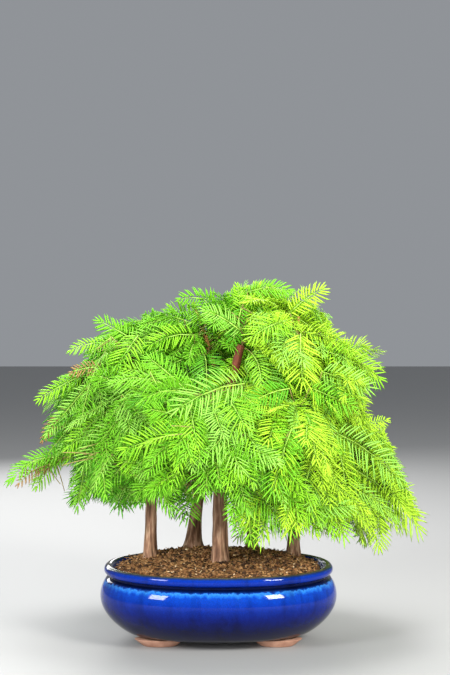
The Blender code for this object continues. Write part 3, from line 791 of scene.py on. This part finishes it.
# The height in metres where each tree's young wood starts, and its colour
RED_WOOD = (0.22, 0.055, 0.03)
ORANGE_WOOD = (0.62, 0.30, 0.09)
YOUNG_WOOD = {
    "left": (0.300, RED_WOOD),
    "centre": (0.285, RED_WOOD),
    "back_left": (0.300, ORANGE_WOOD),
    "back_right": (0.320, ORANGE_WOOD),
    "right": (0.340, ORANGE_WOOD),
}
for number, (tree_name, tree) in enumerate(TREES.items()):
    bark = bark_finish(f"bark_{tree_name}", *YOUNG_WOOD[tree_name])
    make_trunk(tree_name, tree, bark, 3.7 * number)
    make_boughs(tree_name, bark, 11.3 * number)
print("bark pieces:", 2 * len(TREES))

# %% [markdown]
# Bonsai soil here is loose bark and coir, in a low mound that rises from the lip to the trunks. It
# could be sculpted by hand, but that can't be repeated, so a stack of rings is squeezed to the pot's
# oval, and a noise lifts its top into crumbs and hollows that show in the mesh itself.

# %% Soil mound
def soil_finish():
    finish = new_finish("coir_soil", (0.12, 0.06, 0.03), 0.95)
    grains = pattern(finish, 300, detail=8, distortion=0.8)
    stops = ((0.3, (0.02, 0.008, 0.003)), (0.5, (0.13, 0.055, 0.018)), (0.7, (0.34, 0.17, 0.06)))
    finish.links.new(ramp(finish, grains, stops), finish.shader.inputs["Base Color"])
    bump(finish, grains, 1.0, 0.002)
    return finish


def lumps(x, y):
    """Crumbs and hollows on the mound, in millimetres."""
    spot = Vector((x, y, 3.1))
    return 2.2 * noise.fractal(spot * 0.09, 0.9, 2.1, 5) + 0.8 * noise.noise(spot * 0.45)


SOIL_RADIUS = 120.0
SOIL_UNDER_Z = 80
SOIL_SIDES = 150
SOIL_RINGS = 46


def make_soil():
    edge = SOIL_RADIUS
    profile = [(r, SOIL_UNDER_Z) for r in (20, 90, edge - 1)]
    profile += [(edge, SOIL_UNDER_Z + 2), (edge, SOIL_EDGE_Z - 1)]
    profile += [(r, SOIL_EDGE_Z) for r in np.linspace(edge - 0.6, 2, SOIL_RINGS)]
    soil = stack_rings("coir_soil", profile, SOIL_SIDES)
    points = to_oval(points_of(soil))
    for point in points:
        if point[2] > (SOIL_EDGE_Z - 0.5) * MM:
            x, y = (point[:2] - np.array(MIDDLE)[:2]) / MM
            point[2] = (soil_height(x, y) + lumps(x, y)) * MM
    move_points(soil, points)
    bpy.ops.object.shade_smooth_by_angle(angle=math.radians(80))
    dress(soil, soil_finish(), "potting_mix", "soil")


make_soil()
print("soil made, edge at, mm:", SOIL_EDGE_Z)

# %% [markdown]
# Flat bark chips, pale bits and long coir fibres lie loose on the mound. Particles would be lost when
# the model is exported, so thousands of small closed bars are made as joined arrays instead. Each
# kind is one piece with its own two browns.

# %% Chips and fibres
def build_mesh(name, corners, faces):
    """A mesh object from arrays of corners and of triangles."""
    mesh = bpy.data.meshes.new(name)
    mesh.vertices.add(len(corners))
    mesh.vertices.foreach_set("co", np.asarray(corners, dtype=np.float32).ravel())
    mesh.loops.add(faces.size)
    mesh.loops.foreach_set("vertex_index", faces.ravel().astype(np.int32))
    mesh.polygons.add(len(faces))
    mesh.polygons.foreach_set("loop_start", np.arange(0, faces.size, 3, dtype=np.int32))
    mesh.polygons.foreach_set("loop_total", np.full(len(faces), 3, dtype=np.int32))
    mesh.update(calc_edges=True)
    mesh.validate()
    piece = bpy.data.objects.new(name, mesh)
    bpy.context.scene.collection.objects.link(piece)
    return piece


SQUARE = ((-1, -1), (1, -1), (1, 1), (-1, 1))
BAR_CORNERS = np.array([(x, y, z) for z in (-1, 1) for x, y in SQUARE])
BAR_FACES = np.array(
    [
        (0, 2, 1), (0, 3, 2), (4, 5, 6), (4, 6, 7), (0, 1, 5), (0, 5, 4),
        (1, 2, 6), (1, 6, 5), (2, 3, 7), (2, 7, 6), (3, 0, 4), (3, 4, 7),
    ]
)


STREWN_HALF = (116, 90)
CHIP_ROLL = 0.4


def strewn(name, count, long, wide, thick, tilt, finish, seed):
    """Small closed chips that lie about on the mound."""
    rng = random.Random(seed)
    half_x, half_y = STREWN_HALF
    corners = []
    faces = []
    while len(corners) < count:
        x, y = rng.uniform(-half_x, half_x), rng.uniform(-half_y, half_y)
        if (abs(x) / (half_x + 1)) ** PLAN_POWER + (abs(y) / (half_y + 1)) ** PLAN_POWER > 1:
            continue
        size = (rng.uniform(*long) / 2, rng.uniform(*wide) / 2, rng.uniform(*thick) / 2)
        turn = Matrix.Rotation(rng.uniform(0, math.tau), 3, "Z")
        turn = turn @ Matrix.Rotation(rng.gauss(0, tilt), 3, "Y")
        turn = turn @ Matrix.Rotation(rng.gauss(0, CHIP_ROLL), 3, "X")
        shape = BAR_CORNERS * np.array(size)
        shape[:, 0] *= np.where(shape[:, 1] > 0, 1.0, rng.uniform(0.6, 1.0))
        lift = soil_height(x, y) + lumps(x, y) + rng.uniform(-0.3, 0.9)
        corners.append(shape @ np.array(turn).T + np.array((x, y, lift)))
        faces.append(BAR_FACES + 8 * len(faces))
    points = np.concatenate(corners) * MM + np.array(MIDDLE)
    dress(build_mesh(name, points, np.concatenate(faces)), finish, "potting_mix")


def chip_finish(name, dark, light):
    finish = new_finish(name, light, 0.9)
    colour = ramp(finish, pattern(finish, 260, detail=3), ((0.35, dark), (0.65, light)))
    finish.links.new(colour, finish.shader.inputs["Base Color"])
    return finish


# How many, their length, width and thickness in millimetres, their tilt, and two browns
STREWN = {
    "soil_crumbs_dark": (900, (3, 8), (1.5, 4), (0.8, 2.2), 0.4),
    "soil_crumbs_brown": (1500, (3, 9), (1.2, 3.6), (0.7, 2.0), 0.4),
    "soil_crumbs_tan": (900, (2, 7), (1.0, 3.0), (0.6, 1.6), 0.45),
    "soil_crumbs_pale": (240, (2, 6), (0.8, 2.4), (0.5, 1.2), 0.4),
    "soil_fibres": (1300, (7, 20), (0.35, 0.7), (0.35, 0.6), 0.25),
}
BROWNS = {
    "soil_crumbs_dark": ((0.02, 0.008, 0.003), (0.08, 0.035, 0.012)),
    "soil_crumbs_brown": ((0.12, 0.05, 0.015), (0.28, 0.13, 0.045)),
    "soil_crumbs_tan": ((0.27, 0.13, 0.045), (0.50, 0.28, 0.11)),
    "soil_crumbs_pale": ((0.45, 0.30, 0.15), (0.75, 0.58, 0.36)),
    "soil_fibres": ((0.22, 0.10, 0.03), (0.50, 0.28, 0.11)),
}
for number, (name, sizes) in enumerate(STREWN.items()):
    strewn(name, *sizes, chip_finish(f"{name}_skin", *BROWNS[name]), number + 1)
print("chips strewn:", sum(sizes[0] for sizes in STREWN.values()))

# %% [markdown]
# A dawn redwood's leaf is a soft flat needle, and the needles stand in two ranks along a thin green
# shoot: a spray like a small feather. Each spray grows from a twig, each twig from the stem of its
# mass. Every needle is a closed sliver of twelve faces with a blunt tip, curved towards the tip of
# its spray, so that it has its own outline from any side. A picture of a frond on a card would be
# lighter, but it looks flat from the side, so arrays join real needles by the tens of thousands.

# %% Needles of one spray
NEEDLE_FACES = np.array(
    [
        (0, 3, 1), (0, 2, 3), (0, 1, 2), (1, 3, 6), (1, 6, 4), (2, 5, 6),
        (2, 6, 3), (1, 4, 5), (1, 5, 2), (4, 6, 7), (5, 7, 6), (4, 7, 5),
    ]
)
ROD_FACES = np.array(
    [(0, 1, 4), (0, 4, 3), (1, 2, 5), (1, 5, 4), (2, 0, 3), (2, 3, 5), (0, 2, 1), (3, 4, 5)]
)
NEEDLE_THICK = 0.45
NEEDLE_CURL = 0.34
NEEDLE_SAG = 0.12
NEEDLE_TWIST = 0.4
LEAST_PAIRS = 5
# Along a spray: how long its needles are, and how far they lean from it in degrees
LENGTH_ALONG = ((0, 0.14, 0.42, 0.78, 1), (0.62, 0.9, 1, 0.86, 0.5))
LEAN_ALONG = ((0, 0.5, 0.9, 1), (84, 74, 54, 20))
# Along a needle: where its two rings of corners are, and their share of its width
NEEDLE_RINGS = ((0.22, 0.95), (0.78, 0.70))
Spray = namedtuple("Spray", "root way side face length droop sway needle width spacing")


def unit(rows):
    return rows / np.linalg.norm(rows, axis=-1, keepdims=True)


def shoot_point(spray, share):
    """A point on a spray's own shoot, which sags and sways towards its tip."""
    share = np.asarray(share, dtype=float)[..., None]
    turned = (np.array(spray.side) * spray.sway - np.array(UP) * spray.droop) * share * share
    return np.array(spray.root) + (np.array(spray.way) * share + turned) * spray.length


def spray_needles(spray, rng):
    """Corners of every needle on a spray, eight for each."""
    pairs = max(LEAST_PAIRS, int(spray.length / spray.spacing))
    share = np.repeat(np.linspace(0.05, 1.0, pairs), 2)
    sign = np.tile([-1.0, 1.0], pairs)
    share = np.clip(share + rng.uniform(-0.012, 0.012, share.size), 0, 1)
    root = shoot_point(spray, share)
    size = spray.needle * np.interp(share, *LENGTH_ALONG)
    size = size * rng.uniform(0.86, 1.08, share.size)
    lean = np.radians(np.interp(share, *LEAN_ALONG) + rng.normal(0, 5, share.size))
    side = np.array(spray.side)
    turned = side * spray.sway - np.array(UP) * spray.droop
    way = unit(np.array(spray.way) + 2 * share[:, None] * turned)
    side = unit(side - way * (way @ side)[:, None])
    face = np.cross(side, way)
    lift = rng.normal(0.05, 0.10, share.size)[:, None]
    flat = unit(side * (sign * np.sin(lean))[:, None] + way * np.cos(lean)[:, None] + face * lift)
    curl = way * rng.normal(NEEDLE_CURL, 0.06, share.size)[:, None] - np.array(UP) * NEEDLE_SAG
    curl = curl - face * rng.uniform(0.0, 0.14, share.size)[:, None]
    length = size[:, None]
    half = 0.5 * spray.width * rng.uniform(0.85, 1.1, share.size)[:, None]
    twist = rng.normal(0, NEEDLE_TWIST, share.size)[:, None]
    rings = []
    for t, wide in NEEDLE_RINGS:
        centre = root + (flat * t + curl * t * t) * length
        level_across = unit(np.cross(flat + curl * 2 * t, face))
        across = level_across * np.cos(twist) + face * np.sin(twist)
        over = face * np.cos(twist) - level_across * np.sin(twist)
        rings += [centre - across * half * wide, centre + across * half * wide]
        rings.append(centre + over * NEEDLE_THICK)
    return np.stack([root, *rings, root + (flat + curl) * length], axis=1)


def rod_corners(start, end, start_radius, end_radius):
    """Six corners of a three-sided rod."""
    start, end = np.array(start, dtype=float), np.array(end, dtype=float)
    way = unit(end - start)
    across = unit(np.cross(way, (0.3, 0.2, 0.9)))
    other = np.cross(way, across)
    ring = [across * math.cos(a) + other * math.sin(a) for a in (0, math.tau / 3, 2 * math.tau / 3)]
    return np.array([start + r * start_radius for r in ring] + [end + r * end_radius for r in ring])


print("faces on a needle:", len(NEEDLE_FACES), "and on a rod:", len(ROD_FACES))

# %% [markdown]
# The crown has an outline with gaps, and a few bare tips show through it. Cutting needles off at the
# outline would leave blunt ends, so each spray is tested before it is made: it has to end inside the
# outline from the front, inside an oval from above, and clear of the bare tips. One that would pass
# the outline is made shorter or left out.

# %% Where sprays may grow
def seen(point):
    """Where a point shows from the front, as x and z in the plane of the trunks."""
    nearness = VIEW_DISTANCE / (VIEW_DISTANCE + point[1])
    x = VIEW_SIDE_STEP + (point[0] - VIEW_SIDE_STEP) * nearness
    return x, VIEW_HEIGHT + (point[2] - VIEW_HEIGHT) * nearness


def behind(x, z, y):
    """The point at depth y that shows at x and z: the reverse of seen."""
    far = (VIEW_DISTANCE + y) / VIEW_DISTANCE
    return Vector((VIEW_SIDE_STEP + (x - VIEW_SIDE_STEP) * far, y, VIEW_HEIGHT + (z - VIEW_HEIGHT) * far))


def in_outline(point):
    """True where a point lies inside the crown, seen from the front and from above."""
    across = abs(point[0] - CROWN_MIDDLE[0]) / CROWN_HALF_PLAN[0]
    deep = abs(point[1] - CROWN_MIDDLE[1]) / CROWN_HALF_PLAN[1]
    if across ** PLAN_POWER + deep ** PLAN_POWER > 1:
        return False
    x, z = seen(point)
    inside = False
    for (x0, z0), (x1, z1) in zip(CROWN_OUTLINE, CROWN_OUTLINE[1:] + CROWN_OUTLINE[:1]):
        if (z0 > z) != (z1 > z) and x < x0 + (x1 - x0) * (z - z0) / (z1 - z0):
            inside = not inside
    return inside


# Bare tips that show through the crown: lower and upper end as seen, depth and half width
OpenView = namedtuple("OpenView", "x0 z0 x1 z1 depth half")
OPEN_VIEWS = [
    OpenView(26, 318, 26, 351, -26, 6),
    OpenView(-2, 315, -24, 374, 50, 4),
    OpenView(94, 366, 95, 386, 20, 5),
]


def hides(view, point):
    """True where a point would stand before an open view."""
    if point[1] > view.depth:
        return False
    x, z = seen(point)
    dx, dz = view.x1 - view.x0, view.z1 - view.z0
    share = max(0, min(1, ((x - view.x0) * dx + (z - view.z0) * dz) / (dx * dx + dz * dz)))
    return math.hypot(x - view.x0 - dx * share, z - view.z0 - dz * share) < view.half


def outward_at(point):
    """Level direction away from the row of trunks."""
    away = Vector((point[0] - max(-80, min(80, point[0])), point[1] - CROWN_MIDDLE[1], 0))
    away += Vector((point[0] * 0.35, 0, 0))
    return away.normalized() if away.length > 1 else Vector((0, -1, 0))


def random_way(rng, along, outward, rise):
    while True:
        loose = Vector([rng.uniform(-1, 1) for _ in range(3)])
        if 0.1 < loose.length < 1:
            break
    way = along * 0.45 + outward * 0.45 + loose.normalized() * 1.2
    way.z = rng.uniform(*rise)
    return way.normalized()


def side_and_face(way, face, roll):
    """The flat side of a spray: square to its way, then rolled about it."""
    face = Matrix.Rotation(roll, 3, way) @ (face - way * way.dot(face)).normalized()
    return way.cross(face).normalized(), face


print("open views:", len(OPEN_VIEWS), "outline points:", len(CROWN_OUTLINE))

# %% [markdown]
# Some sprays are seen one by one: the long bright ones at the front, those that stick out at the
# sides, and three dry ones on the left. A rule wouldn't put them where they are, so each has a row
# of its own. The rest of the crown is left to the rule of the next step.

# %% Sprays that stand out
# Each as seen from the front: x and z of its root and its tip, the depth of both, its droop,
# needle length and tone
Shown = namedtuple("Shown", "x0 z0 x1 z1 depth0 depth1 droop needle tone")
# Their tones hold some painted light: pale is partly a painted sheen, and lime on the right is partly
# painted light.
SHOWN_SPRAYS = (
    Shown(118, 240, 95, 131, -120, -145, 0.10, 29, "lime"),
    Shown(118, 175, 153, 127, -110, -125, 0.12, 22, "bright"),
    Shown(158, 203, 240, 143, -50, -28, 0.20, 29, "lime"),
    Shown(190, 165, 185, 112, -60, -64, 0.00, 19, "lime"),
    Shown(138, 245, 213, 192, -80, -60, 0.25, 27, "pale"),
    Shown(161, 248, 200, 257, -30, -15, 0.20, 12, "lime"),
    Shown(122, 343, 191, 314, -30, -10, 0.15, 24, "bright"),
    Shown(122, 317, 174, 293, -60, -50, 0.15, 25, "pale"),
    Shown(108, 298, 155, 270, -80, -80, 0.20, 20, "fresh"),
    Shown(97, 362, 95, 307, -60, -95, 0.15, 28, "lime"),
    Shown(102, 364, 144, 350, -15, -15, 0.20, 22, "lime"),
    Shown(84, 387, 120, 416, 0, 0, 0.10, 18, "lime"),
    Shown(87, 380, 42, 357, -40, -70, 0.25, 25, "bright"),
    Shown(34, 411, 84, 410, 30, 20, 0.40, 15, "fresh"),
    Shown(27, 352, 29, 418, -12, -14, 0.00, 11, "bright"),
    Shown(27, 392, 18, 352, -16, -30, 0.10, 15, "leaf"),
    Shown(31, 303, -46, 278, -115, -145, 0.25, 30, "pale"),
    Shown(40, 266, -15, 219, -140, -165, 0.20, 28, "pale"),
    Shown(58, 234, 12, 192, -145, -170, 0.15, 27, "bright"),
    Shown(-6, 236, -26, 180, -140, -160, 0.10, 26, "fresh"),
    Shown(-37, 186, -41, 146, -75, -90, 0.05, 21, "fresh"),
    Shown(-117, 210, -115, 160, -70, -90, 0.10, 24, "leaf"),
    Shown(37, 181, 63, 151, -115, -125, 0.10, 22, "pale"),
    Shown(-164, 213, -250, 182, -25, -45, 0.75, 16, "fresh"),
    Shown(-186, 214, -216, 183, -20, -30, 0.20, 13, "bright"),
    Shown(-161, 312, -210, 282, -10, -15, 0.20, 16, "bright"),
    Shown(-134, 351, -174, 340, 5, 5, 0.35, 13, "bright"),
    Shown(-81, 343, -144, 369, 0, 0, 0.20, 18, "fresh"),
    Shown(-95, 360, -118, 325, -40, -60, 0.10, 22, "bright"),
    Shown(-154, 301, -196, 240, -45, -50, 0.15, 14, "pale"),
    Shown(-134, 269, -178, 230, -70, -70, 0.10, 17, "bright"),
    Shown(-114, 290, -87, 250, -110, -130, 0.10, 28, "pale"),
    Shown(-119, 254, -163, 211, -90, -95, 0.15, 21, "pale"),
    Shown(-180, 246, -202, 219, -35, -40, 0.10, 12, "leaf"),
    Shown(-158, 207, -166, 158, -50, -60, 0.10, 17, "fresh"),
    Shown(-81, 317, -52, 249, -115, -140, 0.20, 29, "fresh"),
    Shown(-22, 372, -85, 380, 20, 10, 0.30, 18, "fresh"),
    Shown(-28, 360, -80, 354, -15, -30, 0.30, 19, "bright"),
    Shown(-4, 401, -44, 402, 40, 30, 0.25, 15, "fresh"),
    Shown(84, 297, 44, 284, -105, -120, 0.20, 19, "leaf"),
    Shown(87, 250, 61, 178, -145, -168, 0.15, 27, "fresh"),
    Shown(143, 225, 158, 157, -90, -105, 0.10, 21, "lime"),
    Shown(-192, 262, -208, 236, -45, -45, 0.20, 9, "dry"),
    Shown(-190, 211, -236, 188, -30, -42, 0.45, 12, "dry"),
    Shown(-140, 322, -172, 318, -30, -32, 0.20, 12, "dry"),
)


SHOWN_WIDTH = 2.3


def shown_spray(row, rng):
    root = behind(row.x0, row.z0, row.depth0)
    straight = behind(row.x1, row.z1, row.depth1) - root
    span = straight + UP * row.droop * straight.length
    way = span.normalized()
    face = Vector((rng.gauss(0, 0.15), -1, 0.45))
    side, face = side_and_face(way, face, rng.gauss(0, 0.15))
    droop = row.droop * straight.length / span.length
    spacing = 3.8 if row.needle > 20 else 3.3
    sway = rng.uniform(-0.14, 0.14)
    return Spray(root, way, side, face, span.length, droop, sway, row.needle, SHOWN_WIDTH, spacing)


print("sprays with a row of their own:", len(SHOWN_SPRAYS))

# %% [markdown]
# A conifer's mass of foliage is one stem, with twigs on it, and sprays that leave each twig by turns to
# the left and to the right. The rule is the solids' own, with more twigs. A hand-drawn crown would
# look alike only from the front, and this one is full from all sides. Every choice comes from
# a seeded row of numbers, so the crown is the same each time.

# %% Growing the crown
SPRAY_SPACING = 11
TWIGS_ON_STEM = 15
TWIG_TRIES = 12
STEM_RODS = 8
STEM_RADIUS = 2.0
STEM_TAPER = 0.18
TWIG_RADIUS = 0.9
TWIG_TAPER = 0.4
NEEDLE_SIZES = (14, 27)
SPRAY_SHRINKS = (1.0, 0.86, 0.72, 0.58)
# The tones run from lit lime to shaded deep green, so where they fall is partly painted light and painted
# shade.
TONE_LEVELS = (("lime", 0.58), ("bright", 0.42), ("fresh", 0.22), ("leaf", 0.06))
TONES = ("lime", "bright", "fresh", "leaf", "deep", "pale", "dry")


def tone_of(rng, spray):
    """A spray's tone: lime to the right, partly as painted light, and deeper as painted shade inside the
    crown and low down.
    """
    x, y, z = np.array(spray.root)
    # Painted shade: the tone deepens towards the middle of the crown.
    inside = 1 - min(1, math.hypot((x + 4) / 220, (y - 14) / 170, (z - 230) / 200))
    # The rise to the right is partly painted light from the right and partly the needles' own lime.
    light = 0.42 + (0.0031 if x > 0 else 0.0006) * x - 0.32 * inside + rng.gauss(0, 0.09)
    # Painted light: sprays high on the right are brighter.
    if x > 20 and z > 280:
        light += 0.12
    # Painted shade: low sprays, away from the right, are darker.
    if z < 210 and x < 60:
        light -= 0.08
    # Painted sheen: a few random sprays are pale.
    if rng.random() < 0.12 and light > 0.2:
        return "pale"
    for tone, least in TONE_LEVELS:
        if light > least:
            return tone
    return "deep"


def is_free(spray):
    """True where a spray stays inside the crown and before no open view."""
    for share in (0.3, 0.62, 0.92):
        spot = Vector(shoot_point(spray, share))
        reach = spray.side * spray.needle * (0.85 if share < 0.9 else 0.4)
        for place in (spot, spot + reach, spot - reach):
            if not in_outline(place) or any(hides(view, place) for view in OPEN_VIEWS):
                return False
    return in_outline(shoot_point(spray, 1) + np.array(spray.way) * 6)


def grow_spray(rng, base, way, length):
    """A spray that faces outwards and ends inside the crown, shortened if need be, or nothing."""
    outward = outward_at(base)
    face = outward * 0.8 + UP * 0.6 + Vector([rng.gauss(0, 0.36) for _ in range(3)])
    side, face = side_and_face(way, face, 0)
    droop = rng.uniform(0.10, 0.50)
    sway = rng.gauss(0, 0.12)
    share = rng.uniform(0.26, 0.34)
    width, spacing = rng.uniform(1.8, 2.3), rng.uniform(3.2, 4.0)
    shortest, longest = NEEDLE_SIZES
    for shrink in SPRAY_SHRINKS:
        size = length * shrink
        needle = max(shortest, min(longest, size * share))
        spray = Spray(base, way, side, face, size, droop, sway, needle, width, spacing)
        if is_free(spray):
            return spray
    return None


def twigs_on_stem(rng, mass, line, tip):
    """Start, way and length of each twig on a stem, with one that carries on from its end."""
    outward = level(mass.onward)
    rise = (-0.3, 1.3) if mass.up > 60 else (-0.8, 0.5)
    beyond = tip - line(1)
    twigs = [(line(0.96), beyond.normalized(), beyond.length * 0.3)]
    for k in range(TWIGS_ON_STEM):
        for _ in range(TWIG_TRIES):
            share = 0.12 + 0.86 * (k + rng.random()) / TWIGS_ON_STEM
            base = line(share)
            along = (line(min(1, share + 0.05)) - line(share - 0.05)).normalized()
            way = random_way(rng, along, outward, rise)
            length = mass.spread * rng.uniform(0.5, 1.2)
            if in_outline(base + way * (length + 25)):
                twigs.append((base, way, length))
                break
    return twigs


def grow_twig(rng, base, way, length):
    """Rods along one drooping twig, and the sprays that leave it on both sides."""
    away = outward_at(base + way * length)
    side, face = side_and_face(way, away * 0.7 + UP * 0.7, rng.gauss(0, 0.5))
    droop = rng.uniform(0.08, 0.25)
    count = max(2, round(length / SPRAY_SPACING))
    shares = np.linspace(0, 1, count + 1)
    spots = [base + way * length * t - UP * droop * length * t * t for t in shares]
    rods = []
    for i in range(count):
        radius = TWIG_RADIUS - TWIG_TAPER * i / count
        rods.append((spots[i], spots[i + 1], radius, radius - TWIG_TAPER / count))
    along = (spots[-1] - spots[-2]).normalized()
    starts = [(spots[-1], along, rng.uniform(60, 90))]
    for i in range(1, count + 1):
        hand = 1 if i % 2 else -1
        swing = math.radians(rng.uniform(34, 62))
        fan = way * math.cos(swing) + side * hand * math.sin(swing)
        hang = away * rng.uniform(0.1, 0.5) - UP * rng.uniform(0.0, 0.6)
        starts.append((spots[i], (fan + hang).normalized(), rng.uniform(48, 88)))
    grown = [grow_spray(rng, *start) for start in starts]
    return rods, [spray for spray in grown if spray]


def grow_mass(name, mass):
    """Rods and sprays of one mass, as the solid's rule grows them but with finer twigs."""
    rng = random.Random(f"11-{name}-fine")
    points, tip = stem_points(mass, 6)
    line = along_points(points + [points[-1].lerp(tip, 0.45)])
    rods = []
    for i in range(STEM_RODS):
        radius = STEM_RADIUS - STEM_TAPER * i
        rods.append((line(i / STEM_RODS), line((i + 1) / STEM_RODS), radius, radius - 0.15))
    sprays = []
    for twig in twigs_on_stem(rng, mass, line, tip):
        twig_rods, twig_sprays = grow_twig(rng, *twig)
        rods += twig_rods
        sprays += twig_sprays
    return rods, sprays


def nearest_rod(rods_of_tree, root):
    """The tree and the twig's end that lie nearest to a place."""
    best = min(
        ((rod[1] - root).length, name, i)
        for name, rods in rods_of_tree.items()
        for i, rod in enumerate(rods)
    )
    return best[1], rods_of_tree[best[1]][best[2]][1]


forest_rods = {name: [] for name in TREES}
forest_sprays = {(name, tone): [] for name in TREES for tone in TONES}
chooser = random.Random(5)
shown = [(shown_spray(row, chooser), row.tone) for row in SHOWN_SPRAYS]
for row in SHOWN_SPRAYS:
    front = min(row.depth0, row.depth1) - 12
    OPEN_VIEWS.append(OpenView(row.x0, row.z0, row.x1, row.z1, front, row.needle * 0.3))
for mass_name, mass in MASSES.items():
    rods, sprays = grow_mass(mass_name, mass)
    forest_rods[mass.tree] += rods
    for spray in sprays:
        forest_sprays[(mass.tree, tone_of(chooser, spray))].append(spray)
links = []
for spray, tone in shown:
    tree_name, start = nearest_rod(forest_rods, spray.root)
    forest_sprays[(tree_name, tone)].append(spray)
    links.append((tree_name, start, spray.root))
for tree_name, start, end in links:
    middle = start.lerp(end, 0.5) - UP * (end - start).length * 0.06
    forest_rods[tree_name] += [(start, middle, 0.7, 0.6), (middle, end, 0.6, 0.55)]
print("sprays:", sum(len(s) for s in forest_sprays.values()))
print("longest link, mm:", round(max((end - start).length for _, start, end in links)))

# %% [markdown]
# Young needles are lime, and a few are dry and brown. The tones also carry painted light: brighter
# lime on the right and on top is partly painted light, deep green inside the crown and low down is
# painted shade, and pale is partly paler needles and partly a painted sheen.
# A pattern over thousands of needles would blur when it is exported, so each tone is a plain
# colour, dealt out by spray, and each tone of each tree is one piece. Twigs are brown, and the
# shoots that carry the needles are green.

# %% Needle and twig pieces
# From lime to deep the tones stand partly for painted light and painted shade; pale is partly a painted
# sheen.
TONE_COLOURS = {
    "lime": (0.40, 0.68, 0.03),
    "bright": (0.26, 0.60, 0.02),
    "fresh": (0.175, 0.50, 0.018),
    "leaf": (0.10, 0.38, 0.012),
    "deep": (0.055, 0.25, 0.01),
    "pale": (0.27, 0.58, 0.07),
    "dry": (0.34, 0.20, 0.07),
}


def needle_finish(tone):
    finish = new_finish(f"needles_{tone}", TONE_COLOURS[tone], 0.5)
    finish.shader.inputs["Specular IOR Level"].default_value = 0.25
    return finish


def foliage_nodes(tree_name):
    return [f"foliage_{name}" for name, mass in MASSES.items() if mass.tree == tree_name]


def joined(parts, face_pattern):
    """Stacks equal small shapes into one array of corners and one of faces."""
    corners = np.concatenate(parts)
    each = corners.shape[1]
    faces = face_pattern[None] + each * np.arange(len(corners))[:, None, None]
    return corners.reshape(-1, 3) * MM + np.array(MIDDLE), faces.reshape(-1, 3)


def make_needles(tree_name, tone, sprays, finish, rng):
    parts = [spray_needles(spray, rng) for spray in sprays]
    corners, faces = joined(parts, NEEDLE_FACES)
    piece = build_mesh(f"needles_{tree_name}_{tone}", corners, faces)
    dress(piece, finish, "needles", *foliage_nodes(tree_name))
    return len(faces)


def make_twigs(tree_name, finish):
    parts = [rod_corners(*rod)[None] for rod in forest_rods[tree_name]]
    corners, faces = joined(parts, ROD_FACES)
    dress(build_mesh(f"twigs_{tree_name}", corners, faces), finish, "bark", *foliage_nodes(tree_name))


SHOOT_SHARES = (0, 0.35, 0.7, 1.0)
SHOOT_RADII = (0.8, 0.65, 0.45, 0.25)


def make_shoots(tree_name, finish):
    parts = []
    for (owner, tone), sprays in forest_sprays.items():
        if owner == tree_name:
            for spray in sprays:
                line = shoot_point(spray, SHOOT_SHARES)
                for i in range(len(SHOOT_SHARES) - 1):
                    rod = rod_corners(line[i], line[i + 1], SHOOT_RADII[i], SHOOT_RADII[i + 1])
                    parts.append(rod[None])
    corners, faces = joined(parts, ROD_FACES)
    dress(build_mesh(f"shoots_{tree_name}", corners, faces), finish, "needles", *foliage_nodes(tree_name))


needle_finishes = {tone: needle_finish(tone) for tone in TONES}
twig_finish = new_finish("young_twig", (0.30, 0.24, 0.07), 0.7)
shoot_finish = new_finish("green_shoot", (0.36, 0.62, 0.07), 0.5)
needle_rng = np.random.default_rng(7)
total = 0
for (tree_name, tone), sprays in forest_sprays.items():
    if sprays:
        total += make_needles(tree_name, tone, sprays, needle_finishes[tone], needle_rng)
for tree_name in TREES:
    make_twigs(tree_name, twig_finish)
    make_shoots(tree_name, shoot_finish)
print("needle faces:", total)
